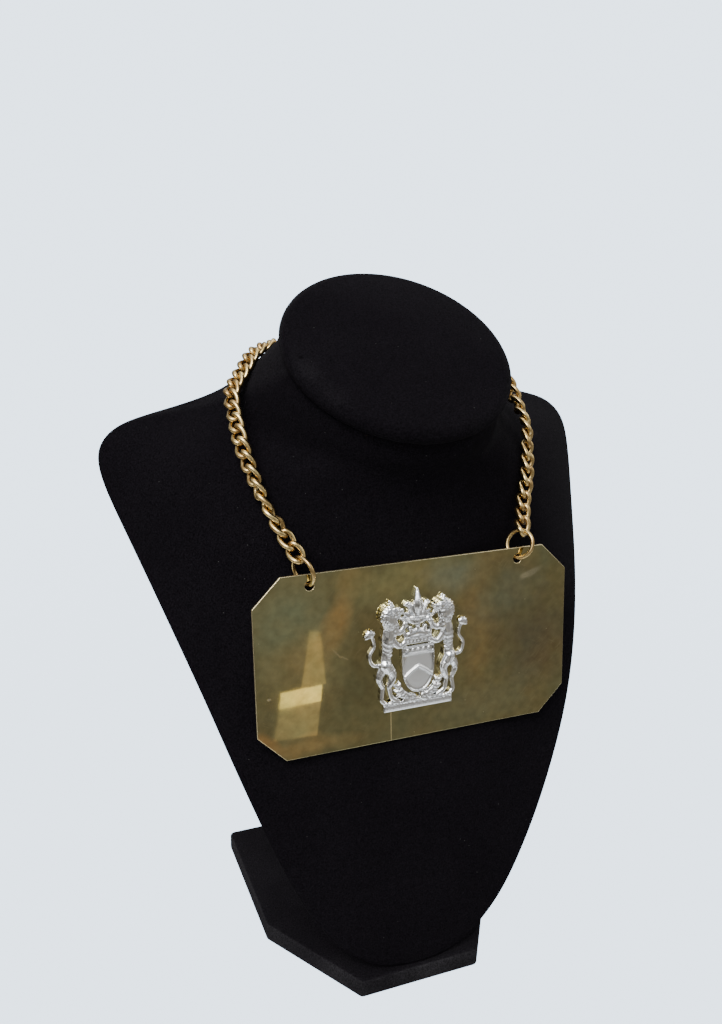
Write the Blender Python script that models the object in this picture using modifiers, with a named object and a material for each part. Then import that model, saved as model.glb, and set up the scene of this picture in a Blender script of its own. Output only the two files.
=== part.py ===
"""Gorget on its display bust.

An eight-sided brass plate with a cast badge hangs on a curb chain from a velvet-covered neck
bust, which stands on a flat board.  Metres, +Z up, the front faces -Y, X = 0 is the middle.
"""
import math

import bmesh
import bpy
from mathutils import Matrix, Vector
from mathutils.bvhtree import BVHTree

MM = 0.001
GAP = 0.3 * MM  # air between pieces that touch on the real object

# Base board
BOARD_HALF_WIDTH = 63.0 * MM
BOARD_HALF_DEPTH = 63.8 * MM
BOARD_FRONT_HALF_WIDTH = 30.8 * MM  # straight front edge between the cut corners
BOARD_CUT_START = -12.8 * MM  # where each long side turns in towards the front
BOARD_THICKNESS = 10.6 * MM
BOARD_CORNER_RADIUS = 2.6 * MM
BOARD_EDGE_RADIUS = 1.5 * MM

# Neck bust, row by row from the tip on the board to the top of the neck, in millimetres
BUST_COLUMNS = (
    "z_front z_side z_back half_width y_front y_side y_back bulge roundness rim"
).split()
BUST_ROWS = (
    (10.9, 10.9, 10.9, 11.0, -61.6, -60.6, -56.5, 2.0, 1.0, 3.0),
    (12.5, 12.5, 12.5, 18.0, -62.3, -60.4, -56.3, 2.0, 1.0, 3.0),
    (17.0, 17.0, 17.0, 27.0, -62.3, -59.8, -55.5, 2.0, 1.0, 3.0),
    (24.0, 24.0, 24.0, 35.5, -61.6, -58.6, -54.3, 2.1, 1.0, 3.5),
    (35.0, 35.0, 35.0, 46.0, -60.3, -56.8, -52.3, 2.2, 1.0, 4.0),
    (51.0, 51.0, 51.0, 56.0, -58.2, -53.6, -49.1, 2.3, 1.0, 4.0),
    (73.0, 73.0, 73.0, 65.8, -54.8, -50.6, -46.0, 2.4, 1.0, 4.0),
    (99.0, 99.0, 99.0, 75.6, -50.5, -45.9, -41.3, 2.5, 1.0, 4.0),
    (127.0, 127.0, 127.0, 85.6, -44.4, -38.6, -33.8, 2.6, 1.0, 4.0),
    (155.0, 155.0, 155.0, 95.0, -40.3, -25.8, -21.0, 2.7, 1.0, 4.0),
    (181.0, 181.0, 181.0, 104.5, -36.8, -7.0, -2.5, 2.8, 1.0, 4.0),
    (203.0, 203.0, 203.0, 112.6, -33.8, 13.0, 17.5, 2.7, 1.0, 4.0),
    (221.0, 221.0, 221.0, 119.5, -33.0, 30.0, 34.5, 2.4, 1.0, 4.0),
    (236.0, 236.0, 237.0, 125.0, -34.0, 44.0, 48.0, 2.05, 1.0, 4.0),
    (246.0, 248.5, 250.5, 126.0, -35.5, 53.0, 56.0, 1.85, 1.0, 3.0),
    (252.0, 258.8, 261.0, 115.5, -38.0, 56.5, 59.5, 1.8, 1.0, 3.0),
    (255.5, 263.0, 269.0, 94.0, -40.0, 55.5, 60.0, 1.9, 1.05, 4.0),
    (258.0, 267.0, 278.0, 75.5, -41.5, 48.0, 58.5, 2.1, 1.2, 7.0),
    (260.0, 274.5, 286.5, 64.5, -42.5, 34.0, 57.5, 2.2, 1.4, 12.0),
    (262.0, 282.0, 297.5, 57.8, -43.2, 18.0, 56.5, 2.1, 1.7, 16.0),
    (265.0, 288.5, 309.0, 52.6, -43.8, 5.0, 53.0, 2.0, 1.9, 12.0),
    (269.1, 292.1, 318.9, 49.2, -44.0, -2.0, 48.0, 2.0, 2.0, 1.0),
)
BUST_FRONT_POINTS = 13
BUST_BACK_POINTS = 9

# Oval cap on the neck
CAP_CENTRE = Vector((0, -1.2 * MM, 298.4 * MM))
CAP_TILT = math.radians(28.5)  # front edge lower than the back
CAP_HALF_WIDTH = 52.0 * MM
CAP_LENGTH_RATIO = 1.068
CAP_THICKNESS = 9.6 * MM
CAP_DOME = 2.6 * MM

# Strut behind the bust
STRUT_WIDTH = 34.0 * MM
STRUT_THICKNESS = 8.0 * MM
STRUT_FOOT_Y = 50.0 * MM
STRUT_TOP_ROWS = (8, 9)  # it meets the flat back of the bust between these two rows

# Brass plate
PLATE_CENTRE = Vector((0, -39.8 * MM, 171.2 * MM))
PLATE_LEAN = math.radians(8.0)  # top edge tipped back
PLATE_WIDTH = 152.4 * MM
PLATE_HEIGHT = 83.6 * MM
PLATE_CORNER_CUT = 12.7 * MM
PLATE_THICKNESS = 1.2 * MM
RING_HOLE_X = 50.5 * MM
RING_HOLE_BELOW_TOP = 5.3 * MM
RING_HOLE_RADIUS = 2.3 * MM

# Cast badge, drawn in the plane of the plate from the badge's own middle
BADGE_CENTRE = Vector((-1.0 * MM, 1.0 * MM))
POST_RADIUS = 1.2 * MM
POST_HOLE_RADIUS = 1.55 * MM
POST_SPOTS = ((-13.0 * MM, -25.5 * MM), (13.0 * MM, -25.5 * MM))
POST_REACH = 0.9 * MM  # how far a post stands out behind the plate

# Jump rings
RING_RADIUS = 6.4 * MM  # of the wire's centre line
RING_WIRE = 0.8 * MM
RING_SIDE_TURN = {"ring_left": 66.0, "ring_right": 60.0}  # degrees, right-hand side forward
LINK_HOLD = 2.25 * MM  # from the middle of an end link to the middle of the ring's wire
RING_INWARD = 0.25 * MM  # a ring hangs this much nearer the middle than its hole
RING_RISE = 0.8 * MM  # its wire passes the plate this far above the hole's middle

# Curb chain
LINK_HALF_LENGTH = 4.35 * MM  # of the wire's centre line
LINK_HALF_WIDTH = 2.55 * MM
LINK_TWIST = 1.0  # radians, from the middle of a link to its end
LINK_WIRE = 0.92 * MM
CONTACT_RADIUS = 0.8 * MM  # of the ball that joins two links
LINK_POINTS = 12
CHAIN_PARTS = 8
LINK_PITCH = 6.4 * MM
LINK_GAP_STEP = 0.3 * MM  # two parts' end links hang this much closer, so that they don't fuse
# Right-hand half of the chain from its ring to the middle of the back of the neck: x, y, z in
# millimetres, then the link's turn about the chain in degrees, left-hand and right-hand run
ROUTE = (
    (55.1, -29.6, 220.9, 25, 208),
    (60.6, -18.6, 232.4, 80, 197),
    (66.0, -9.4, 246.5, 135, 184),
    (70.0, -1.8, 259.2, 152, 153),
    (70.0, 10.2, 269.2, 172, 145),
    (69.3, 19.5, 277.0, 200, 130),
    (66.0, 27.5, 281.5, 212, 130),
    (55.0, 40.2, 288.6, 220, 145),
    (42.0, 50.0, 293.0, 218, 158),
    (22.0, 55.5, 295.5, 200, 172),
    (0.0, 57.0, 296.5, 180, 180),
)

# Strokes of the badge in millimetres: x, y, height of the stroke's middle, radius at each point.
# The supporter is the right-hand one; the left-hand one is its mirror image.
SUPPORTER_STROKES = {
    "body": ((15.5, -6.0, 1.6, 3.4), (14.9, 0.5, 1.5, 2.7), (14.0, 7.5, 1.9, 3.9), (12.8, 14.0, 1.9, 3.5)),
    "head": ((12.8, 15.5, 2.0, 3.3), (11.8, 20.0, 2.2, 3.0), (8.4, 19.6, 2.0, 1.7)),
    "ear": ((12.6, 21.5, 2.2, 1.2), (13.6, 24.6, 1.8, 0.9)),
    "mane_high": ((13.2, 19.0, 1.8, 2.0), (16.6, 19.6, 1.4, 1.1)),
    "mane_low": ((14.2, 15.5, 1.8, 2.0), (17.6, 14.0, 1.4, 1.1)),
    "upper_foreleg": ((12.5, 11.0, 2.2, 2.3), (9.0, 9.4, 2.2, 1.6), (6.4, 12.0, 2.0, 1.5)),
    "lower_foreleg": ((13.0, 6.0, 2.2, 2.3), (9.6, 2.8, 2.2, 1.6), (7.0, 3.2, 2.0, 1.6)),
    "near_thigh": ((15.8, -5.0, 2.0, 3.2), (12.4, -10.5, 2.2, 2.3), (14.4, -16.5, 1.8, 1.4)),
    "near_foot": ((14.4, -16.5, 1.8, 1.4), (13.2, -21.0, 1.6, 1.3), (10.6, -22.6, 1.5, 1.5)),
    "far_thigh": ((16.2, -6.0, 1.3, 2.8), (18.8, -11.5, 1.3, 1.9), (16.9, -16.5, 1.2, 1.3)),
    "far_foot": ((16.9, -16.5, 1.2, 1.3), (17.6, -22.4, 1.2, 1.5)),
    "tail": (
        (17.4, -5.0, 1.2, 1.1), (21.6, -4.6, 1.2, 0.9), (23.0, 0.0, 1.2, 0.9),
        (20.8, 4.0, 1.2, 0.9), (21.8, 8.6, 1.2, 1.1), (24.2, 10.6, 1.2, 1.6),
    ),
    "laurel_low": ((3.0, -23.4, 1.4, 1.6), (7.0, -22.4, 1.4, 1.4)),
    "laurel_high": ((5.0, -22.0, 1.4, 1.3), (8.8, -18.6, 1.4, 1.0)),
    "crown_side": ((2.6, 5.6, 1.9, 1.4), (5.4, 10.2, 1.9, 1.1), (5.9, 11.6, 2.1, 1.2)),
    "lily_side": ((0.8, 15.0, 1.8, 1.4), (4.0, 19.5, 1.8, 1.5), (5.6, 22.2, 1.7, 1.2), (7.0, 20.2, 1.6, 0.8)),
}
CENTRE_STROKES = {
    "crown_band": ((-6.0, 4.6, 1.8, 1.7), (6.0, 4.6, 1.8, 1.7)),
    "crown_middle": ((0.0, 5.0, 2.0, 1.6), (0.0, 11.4, 2.2, 1.5)),
    "lily_stem": ((0.0, 11.0, 1.9, 1.6), (0.0, 16.5, 1.9, 1.5)),
    "lily_petal": ((0.0, 16.0, 2.0, 1.6), (0.0, 22.0, 2.2, 2.5), (0.0, 28.2, 1.6, 0.8)),
    "lily_tie": ((-3.2, 15.2, 2.1, 1.1), (3.2, 15.2, 2.1, 1.1)),
}
STROKE_STEPS = 3  # points between two points of the table
SHIELD_HALF_WIDTH = 8.0
SHIELD_TOP = 2.4
SHIELD_SHOULDER = -7.0
SHIELD_TIP = -20.5
SHIELD_HEIGHT = 2.6
PLINTH = (-17.0, -28.0, 17.0, -24.6)  # left, bottom, right, top
PLINTH_HEIGHT = 2.4
BADGE_VOXEL = 1.05 * MM


def row_dict(columns, row):
    """A table row with its column names."""
    return dict(zip(columns, row))


def clear_scene():
    for obj in list(bpy.data.objects):
        bpy.data.objects.remove(obj)


def new_collection(name, hidden=False):
    collection = bpy.data.collections.new(name)
    bpy.context.scene.collection.children.link(collection)
    collection.hide_render = hidden
    return collection


def new_material(name, colour, roughness, metallic):
    material = bpy.data.materials.new(name)
    material.use_nodes = True
    shader = material.node_tree.nodes["Principled BSDF"]
    shader.inputs["Base Color"].default_value = (*colour, 1)
    shader.inputs["Roughness"].default_value = roughness
    shader.inputs["Metallic"].default_value = metallic
    return material


def add_object(name, data, collection, material=None):
    obj = bpy.data.objects.new(name, data)
    collection.objects.link(obj)
    if material:
        data.materials.append(material)
    return obj


def as_mesh(curve_object):
    """The curve object's mesh with its caps welded on; the curve object is removed."""
    graph = bpy.context.evaluated_depsgraph_get()
    mesh = bpy.data.meshes.new_from_object(curve_object.evaluated_get(graph))
    bm = bmesh.new()
    bm.from_mesh(mesh)
    bmesh.ops.remove_doubles(bm, verts=bm.verts, dist=1e-6)
    bmesh.ops.recalc_face_normals(bm, faces=bm.faces)
    bm.to_mesh(mesh)
    bm.free()
    bpy.data.objects.remove(curve_object)
    return mesh


def flat_mesh(name, outlines, thickness):
    """A sheet in the XY plane, centred on Z = 0; outlines inside the first one are holes."""
    curve = bpy.data.curves.new(name, "CURVE")
    curve.dimensions = "2D"
    curve.fill_mode = "BOTH"
    curve.extrude = thickness / 2
    for outline in outlines:
        spline = curve.splines.new("POLY")
        spline.points.add(len(outline) - 1)
        for point, (x, y) in zip(spline.points, outline):
            point.co = (x, y, 0, 1)
        spline.use_cyclic_u = True
    return as_mesh(add_object(name, curve, CUTTERS))


def tube_mesh(name, paths, closed, sides=6):
    """Round wires along paths of (point, radius)."""
    curve = bpy.data.curves.new(name, "CURVE")
    curve.dimensions = "3D"
    curve.bevel_depth = 1.0
    curve.bevel_resolution = sides // 2 - 2
    curve.use_fill_caps = not closed
    for path in paths:
        spline = curve.splines.new("POLY")
        spline.points.add(len(path) - 1)
        for point, (place, radius) in zip(spline.points, path):
            point.co = (*place, 1)
            point.radius = radius
        spline.use_cyclic_u = closed
    return as_mesh(add_object(name, curve, CUTTERS))


def circle(x, y, radius, points=20):
    steps = (2 * math.pi * i / points for i in range(points))
    return [(x + radius * math.cos(a), y + radius * math.sin(a)) for a in steps]


def spline_point(points, t):
    """Catmull-Rom curve through points at t, counted in points from the first one."""
    last = len(points) - 1
    i = min(int(t), last - 1)
    f = t - i
    a, b, c, d = (points[min(max(k, 0), last)] for k in (i - 1, i, i + 1, i + 2))
    return [
        0.5 * (2 * q + (r - p) * f + (2 * p - 5 * q + 4 * r - s) * f**2 + (3 * q - p - 3 * r + s) * f**3)
        for p, q, r, s in zip(a, b, c, d)
    ]


def add_bevel(obj, width, segments, angle=30):
    bevel = obj.modifiers.new("rounded edges", "BEVEL")
    bevel.width = width
    bevel.segments = segments
    bevel.limit_method = "ANGLE"
    bevel.angle_limit = math.radians(angle)
    return bevel


def add_boolean(obj, other, operation):
    boolean = obj.modifiers.new(operation.lower(), "BOOLEAN")
    boolean.operation = operation
    boolean.solver = "EXACT"
    boolean.object = other
    other.hide_render = True
    other.display_type = "WIRE"
    return boolean


def make_board():
    half, deep = BOARD_HALF_WIDTH, BOARD_HALF_DEPTH
    right = [(BOARD_FRONT_HALF_WIDTH, -deep), (half, BOARD_CUT_START), (half, deep)]
    outline = right + [(-x, y) for x, y in reversed(right)]
    mesh = flat_mesh("base_board", [outline], BOARD_THICKNESS)
    bm = bmesh.new()
    bm.from_mesh(mesh)
    bmesh.ops.dissolve_limit(bm, angle_limit=0.01, verts=bm.verts, edges=bm.edges)
    upright = [e for e in bm.edges if abs((e.verts[0].co - e.verts[1].co).z) > BOARD_THICKNESS / 2]
    bmesh.ops.bevel(
        bm, geom=upright, offset=BOARD_CORNER_RADIUS, segments=3, profile=0.5, affect="EDGES"
    )
    bm.to_mesh(mesh)
    bm.free()
    board = add_object("base_board", mesh, PARTS, VELVET)
    board.location.z = BOARD_THICKNESS / 2
    add_bevel(board, BOARD_EDGE_RADIUS, 2)
    return board


def bust_ring(row):
    """One closed row of the bust: across the front, left to right, then back across the back."""
    r = row_dict(BUST_COLUMNS, row)
    points = []
    for i in range(BUST_FRONT_POINTS):
        t = math.radians(-90 + 180 * i / (BUST_FRONT_POINTS - 1))
        side = min(abs(math.sin(t)), 1) ** r["bulge"]
        back = 1 - (1 - side) ** (1 / r["roundness"])
        y = r["y_front"] + (r["y_side"] - r["y_front"]) * back
        z = r["z_side"] + (r["z_front"] - r["z_side"]) * math.cos(t)
        points.append((r["half_width"] * math.sin(t), y, z))
    rim_y = r["y_side"] + r["rim"]
    for i in range(BUST_BACK_POINTS):
        t = math.radians(90 - 180 * i / (BUST_BACK_POINTS - 1))
        y = rim_y + (r["y_back"] - rim_y) * math.cos(t)
        z = r["z_side"] + (r["z_back"] - r["z_side"]) * math.cos(t)
        points.append((r["half_width"] * math.sin(t), y, z))
    return points


def make_bust():
    bm = bmesh.new()
    rings = [[bm.verts.new(Vector(p) * MM) for p in bust_ring(row)] for row in BUST_ROWS]
    count = len(rings[0])
    for low, high in zip(rings, rings[1:]):
        for i in range(count):
            j = (i + 1) % count
            bm.faces.new((low[i], low[j], high[j], high[i]))
    crease = bm.edges.layers.float.new("crease_edge")
    for face in (bm.faces.new(rings[0][::-1]), bm.faces.new(rings[-1])):
        for edge in face.edges:
            edge[crease] = 1
    mesh = bpy.data.meshes.new("bust_form")
    bm.to_mesh(mesh)
    bm.free()
    mesh.shade_smooth()
    bust = add_object("bust_form", mesh, PARTS, VELVET)
    soft = bust.modifiers.new("soft form", "SUBSURF")
    soft.levels = 1
    soft.render_levels = 1
    return bust


def make_cap():
    """A firm disc: flat below, rolled round its rim, slightly domed on top."""
    half, roll = CAP_THICKNESS / 2, CAP_THICKNESS / 2
    profile = [(0, half + CAP_DOME), (CAP_HALF_WIDTH * 0.45, half + CAP_DOME * 0.8)]
    profile.append((CAP_HALF_WIDTH * 0.78, half + CAP_DOME * 0.35))
    for angle in (90, 60, 30, 0, -30, -60, -90):
        a = math.radians(angle)
        profile.append((CAP_HALF_WIDTH - roll + roll * math.cos(a), half * math.sin(a)))
    profile.append((0, -half))
    bm = bmesh.new()
    verts = [bm.verts.new((x, 0, z)) for x, z in profile]
    for a, b in zip(verts, verts[1:]):
        bm.edges.new((a, b))
    mesh = bpy.data.meshes.new("neck_cap")
    bm.to_mesh(mesh)
    bm.free()
    cap = add_object("neck_cap", mesh, PARTS, VELVET)
    screw = cap.modifiers.new("turned", "SCREW")
    screw.steps = screw.render_steps = 28
    screw.use_merge_vertices = True
    screw.merge_threshold = 0.00001
    screw.use_smooth_shade = True
    cap.location = CAP_CENTRE
    cap.rotation_euler.x = CAP_TILT
    cap.scale.y = CAP_LENGTH_RATIO
    return cap


def make_strut():
    """A plain leg from the flat back of the bust down to the board."""
    low, high = (row_dict(BUST_COLUMNS, BUST_ROWS[i]) for i in STRUT_TOP_ROWS)
    clear = GAP / MM + 1.2  # the smoothed back stands a little behind its table rows
    bottom = (BOARD_THICKNESS + GAP) / MM
    foot, thick = STRUT_FOOT_Y / MM, STRUT_THICKNESS / MM
    top_y, top_z = high["y_back"] + clear, high["z_back"]
    outline = [
        (foot, bottom),
        (foot + thick, bottom),
        (top_y + 0.6 * thick, top_z),
        (top_y, top_z),
        (low["y_back"] + clear, low["z_back"]),
    ]
    mesh = flat_mesh("back_strut", [[(y * MM, z * MM) for y, z in outline]], STRUT_WIDTH)
    strut = add_object("back_strut", mesh, PARTS, VELVET)
    strut.rotation_euler = (math.radians(90), 0, math.radians(90))
    return strut


def make_plate():
    x, y, cut = PLATE_WIDTH / 2, PLATE_HEIGHT / 2, PLATE_CORNER_CUT
    right = [(x - cut, -y), (x, -y + cut), (x, y - cut), (x - cut, y)]
    outline = right + [(-px, py) for px, py in reversed(right)]
    hole_y = y - RING_HOLE_BELOW_TOP
    holes = [circle(side * RING_HOLE_X, hole_y, RING_HOLE_RADIUS) for side in (-1, 1)]
    posts = [
        circle(BADGE_CENTRE.x + px, BADGE_CENTRE.y + py, POST_HOLE_RADIUS, 12) for px, py in POST_SPOTS
    ]
    mesh = flat_mesh("plate", [outline, *holes, *posts], PLATE_THICKNESS)
    plate = add_object("plate", mesh, PARTS, BRASS)
    plate.parent = PLATE_FRAME
    return plate


def stroke_path(points):
    """A stroke's table points with STROKE_STEPS smooth steps between each two."""
    count = (len(points) - 1) * STROKE_STEPS
    path = []
    for k in range(count + 1):
        x, y, height, radius = spline_point(points, k / STROKE_STEPS)
        path.append((Vector((x, y, height)) * MM, radius * MM))
    return path


def shield_outline():
    points = []
    for k in range(9):
        t = k / 8
        half = SHIELD_HALF_WIDTH * math.sqrt(1 - t**2.2) if t < 1 else 0
        points.append((half, SHIELD_SHOULDER + (SHIELD_TIP - SHIELD_SHOULDER) * t))
    right = [(SHIELD_HALF_WIDTH, SHIELD_TOP), *points]
    left = [(-x, y) for x, y in reversed(right) if x > 0]
    return [(x * MM, y * MM) for x, y in right + left]


def add_mesh(bm, mesh, shift=(0, 0, 0)):
    """Adds the mesh's faces to bm, moved by shift."""
    first = len(bm.verts)
    bm.from_mesh(mesh)
    bm.verts.ensure_lookup_table()
    bmesh.ops.translate(bm, verts=bm.verts[first:], vec=shift)
    bpy.data.meshes.remove(mesh)


def make_badge():
    """A pierced casting: strokes melted into one body, cut flat behind, with two posts."""
    strokes = list(CENTRE_STROKES.values())
    for points in SUPPORTER_STROKES.values():
        strokes.append(points)
        strokes.append([(-x, y, height, radius) for x, y, height, radius in points])
    bm = bmesh.new()
    add_mesh(bm, tube_mesh("strokes", [stroke_path(s) for s in strokes], False, sides=10))
    shield_shift = (0, 0, SHIELD_HEIGHT / 2 * MM)
    add_mesh(bm, flat_mesh("shield", [shield_outline()], SHIELD_HEIGHT * MM), shield_shift)
    left, bottom, right, top = (v * MM for v in PLINTH)
    corners = [(left, bottom), (right, bottom), (right, top), (left, top)]
    plinth_shift = (0, 0, PLINTH_HEIGHT / 2 * MM)
    add_mesh(bm, flat_mesh("plinth", [corners], PLINTH_HEIGHT * MM), plinth_shift)
    mesh = bpy.data.meshes.new("badge")
    bm.to_mesh(mesh)
    bm.free()
    badge = add_object("badge", mesh, PARTS, SILVER)
    melt = badge.modifiers.new("melted together", "REMESH")
    melt.mode = "VOXEL"
    melt.voxel_size = BADGE_VOXEL
    melt.adaptivity = 0
    thin = badge.modifiers.new("fewer faces", "DECIMATE")
    thin.ratio = 0.27
    size = 80 * MM
    behind = bmesh.new()
    bmesh.ops.create_cube(behind, size=size)
    bmesh.ops.translate(behind, verts=behind.verts, vec=(0, 0, -size / 2))
    cutter_mesh = bpy.data.meshes.new("flat_back")
    behind.to_mesh(cutter_mesh)
    behind.free()
    cutter = add_object("flat_back", cutter_mesh, CUTTERS)
    add_boolean(badge, cutter, "DIFFERENCE")
    depth = PLATE_THICKNESS + GAP + POST_REACH
    paths = []
    for x, y in POST_SPOTS:
        ends = (Vector((x, y, 1.2 * MM)), Vector((x, y, -depth)))
        paths.append([(end, POST_RADIUS) for end in ends])
    posts = add_object("posts", tube_mesh("posts", paths, False, sides=10), CUTTERS)
    add_boolean(badge, posts, "UNION")
    lift = (*BADGE_CENTRE, PLATE_THICKNESS / 2 + GAP)
    for obj in (badge, cutter, posts):
        obj.parent = PLATE_FRAME
        obj.location = lift
    return badge


def ring_pose(name):
    """World matrix of a jump ring, whose own Z is its axis and own Y points to the chain."""
    mirror = Vector((-1 if name == "ring_left" else 1, 1, 1))
    hold_y = PLATE_HEIGHT / 2 - RING_HOLE_BELOW_TOP + RING_RISE
    low = Vector((mirror.x * (RING_HOLE_X - RING_INWARD), hold_y, 0))
    low = PLATE_FRAME.matrix_world @ low
    start, after = (mirror * Vector(row[:3]) * MM for row in ROUTE[:2])
    high = start - (after - start).normalized() * LINK_HOLD
    up = (high - low).normalized()
    turn = math.radians(RING_SIDE_TURN[name])
    across = Vector((math.cos(turn), -math.sin(turn), 0))
    across = (across - up * across.dot(up)).normalized()
    axis = across.cross(up)
    centre = low + up * RING_RADIUS
    return Matrix.Translation(centre) @ Matrix((across, up, axis)).transposed().to_4x4()


def make_ring(name):
    path = []
    for k in range(24):
        a = 2 * math.pi * k / 24
        path.append((Vector((math.cos(a), math.sin(a), 0)) * RING_RADIUS, RING_WIRE))
    mesh = tube_mesh(name, [path], True, sides=8)
    mesh.shade_smooth()
    ring = add_object(name, mesh, PARTS, CHAIN_BRASS)
    ring.matrix_world = ring_pose(name)
    return ring


def chain_stations(bust):
    """Even stations along the whole chain: (point, direction away from the bust, roll)."""
    right = [list(row) for row in ROUTE]
    left = [[-row[0], *row[1:]] for row in ROUTE]
    whole = left + right[-2::-1]
    runs = [row[:3] + [row[3] if row[0] < 0 else row[4]] for row in whole]
    fine = [spline_point(runs, k / 8) for k in range((len(runs) - 1) * 8 + 1)]
    points = [Vector(p[:3]) * MM for p in fine]
    rolls = [math.radians(p[3]) for p in fine]
    graph = bpy.context.evaluated_depsgraph_get()
    surface = BVHTree.FromObject(bust, graph)
    for _ in range(6):
        for i in range(len(points)):
            near, normal, _, _ = surface.find_nearest(points[i])
            away = points[i] - near
            height = away.dot(normal)
            lift = link_reach(rolls[i]) - height
            if lift > 0:
                points[i] = points[i] + normal * lift
        inner = [(a + 2 * b + c) / 4 for a, b, c in zip(points, points[1:], points[2:])]
        points = [points[0], *inner, points[-1]]
    normals = [surface.find_nearest(p)[1] for p in points]
    for _ in range(4):
        inner = [(a + b + c).normalized() for a, b, c in zip(normals, normals[1:], normals[2:])]
        normals = [normals[0], *inner, normals[-1]]
    return points, normals, rolls


def link_offset(a, twist=LINK_TWIST):
    """Along, sideways and outward place of a twisted link's wire at the angle a."""
    along = LINK_HALF_LENGTH * math.copysign(abs(math.cos(a)) ** 0.87, math.cos(a))
    side = LINK_HALF_WIDTH * math.copysign(abs(math.sin(a)) ** 0.87, math.sin(a))
    turn = twist * math.cos(a)
    return along, side * math.cos(turn), side * math.sin(turn)


def link_reach(roll):
    """How far a link of this roll reaches from its middle towards the bust, with a gap added."""
    offsets = [link_offset(2 * math.pi * k / 24) for k in range(24)]
    reach = max(out * math.cos(roll) + side * math.sin(roll) for _, side, out in offsets)
    return reach + LINK_WIRE + GAP


def link_frames(stations):
    """Middle, direction, sideways and outward vectors and twist of each link, and its chain part."""
    points, normals, rolls = stations
    along = [0.0]
    for a, b in zip(points, points[1:]):
        along.append(along[-1] + (b - a).length)
    count = round((along[-1] + (CHAIN_PARTS - 1) * LINK_GAP_STEP) / LINK_PITCH) + 1
    pitch = (along[-1] + (CHAIN_PARTS - 1) * LINK_GAP_STEP) / (count - 1)
    frames = []
    place = 0.0
    for link in range(count):
        part = link * CHAIN_PARTS // count
        i = max(k for k in range(len(along) - 1) if along[k] <= place + 1e-9)
        f = (place - along[i]) / (along[i + 1] - along[i])
        middle = points[i].lerp(points[i + 1], f)
        forward = (points[min(i + 2, len(points) - 1)] - points[max(i - 1, 0)]).normalized()
        out = normals[i].lerp(normals[i + 1], f)
        out = (out - forward * out.dot(forward)).normalized()
        roll_step = rolls[i + 1] - rolls[i]
        out = Matrix.Rotation(rolls[i] + roll_step * f, 3, forward) @ out
        twist = LINK_TWIST - roll_step / (along[i + 1] - along[i]) * LINK_PITCH / 2
        frames.append((middle, forward, forward.cross(out), out, twist, part))
        next_part = (link + 1) * CHAIN_PARTS // count
        place += pitch - (LINK_GAP_STEP if next_part != part else 0)
    return frames


def link_path(frame):
    """The closed wire of one twisted curb link."""
    middle, forward, sideways, out, twist, _ = frame
    offsets = [link_offset(2 * math.pi * k / LINK_POINTS, twist) for k in range(LINK_POINTS)]
    return [(middle + forward * x + sideways * y + out * z, LINK_WIRE) for x, y, z in offsets]


def keep_outer_shell(mesh):
    """Drops every loose shell of the mesh but the largest one."""
    bm = bmesh.new()
    bm.from_mesh(mesh)
    unseen, shells = set(bm.verts), []
    while unseen:
        reached = {unseen.pop()}
        edge = list(reached)
        while edge:
            linked = {e.other_vert(v) for v in edge for e in v.link_edges} - reached
            reached |= linked
            edge = list(linked)
        unseen -= reached
        shells.append(reached)
    shells.sort(key=len)
    bmesh.ops.delete(bm, geom=[v for shell in shells[:-1] for v in shell], context="VERTS")
    bm.to_mesh(mesh)
    bm.free()


def bead_mesh(name, places):
    """Small balls at the places given."""
    bm = bmesh.new()
    for place in places:
        matrix = Matrix.Translation(place)
        bmesh.ops.create_icosphere(bm, subdivisions=2, radius=CONTACT_RADIUS, matrix=matrix)
    mesh = bpy.data.meshes.new(name)
    bm.to_mesh(mesh)
    bm.free()
    return mesh


def make_chain(bust):
    """The links of each part of the chain, made one body by a ball where two of them meet."""
    frames = link_frames(chain_stations(bust))
    for part in range(CHAIN_PARTS):
        links = [frame for frame in frames if frame[5] == part]
        name = f"chain_{part + 1:02d}"
        chain = add_object(name, tube_mesh(name, [link_path(link) for link in links], True), CUTTERS)
        contacts = [(a[0] + b[0]) / 2 for a, b in zip(links, links[1:])]
        beads = add_object(name + "_contacts", bead_mesh(name + "_contacts", contacts), CUTTERS)
        add_boolean(chain, beads, "UNION")
        mesh = as_mesh(chain)
        bpy.data.objects.remove(beads)
        keep_outer_shell(mesh)
        add_object(name, mesh, PARTS, CHAIN_BRASS)
    return len(frames)


clear_scene()
PARTS = new_collection("gorget_on_neck_bust")
CUTTERS = new_collection("cutters", hidden=True)
VELVET = new_material("black velvet", (0.006, 0.005, 0.006), 0.95, 0.0)
BRASS = new_material("tarnished brass plate", (0.30, 0.24, 0.10), 0.35, 1.0)
CHAIN_BRASS = new_material("chain brass", (0.52, 0.40, 0.20), 0.30, 1.0)
SILVER = new_material("silver-coloured casting", (0.72, 0.72, 0.72), 0.25, 1.0)
PLATE_FRAME = bpy.data.objects.new("plate_frame", None)
PARTS.objects.link(PLATE_FRAME)
PLATE_FRAME.location = PLATE_CENTRE
PLATE_FRAME.rotation_euler.x = math.radians(90) - PLATE_LEAN
bpy.context.view_layer.update()

make_board()
bust_object = make_bust()
make_cap()
make_strut()
make_plate()
make_badge()
for ring_name in RING_SIDE_TURN:
    make_ring(ring_name)
bpy.context.view_layer.update()
make_chain(bust_object)
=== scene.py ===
"""Finished look of the gorget on its display bust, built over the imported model.

Metres, +Z up.  The plate and the chest face -Y, X = 0 is the middle.
"""
import math
import random

import bmesh
import bpy
from mathutils import Matrix, Vector
from mathutils.bvhtree import BVHTree


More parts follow.
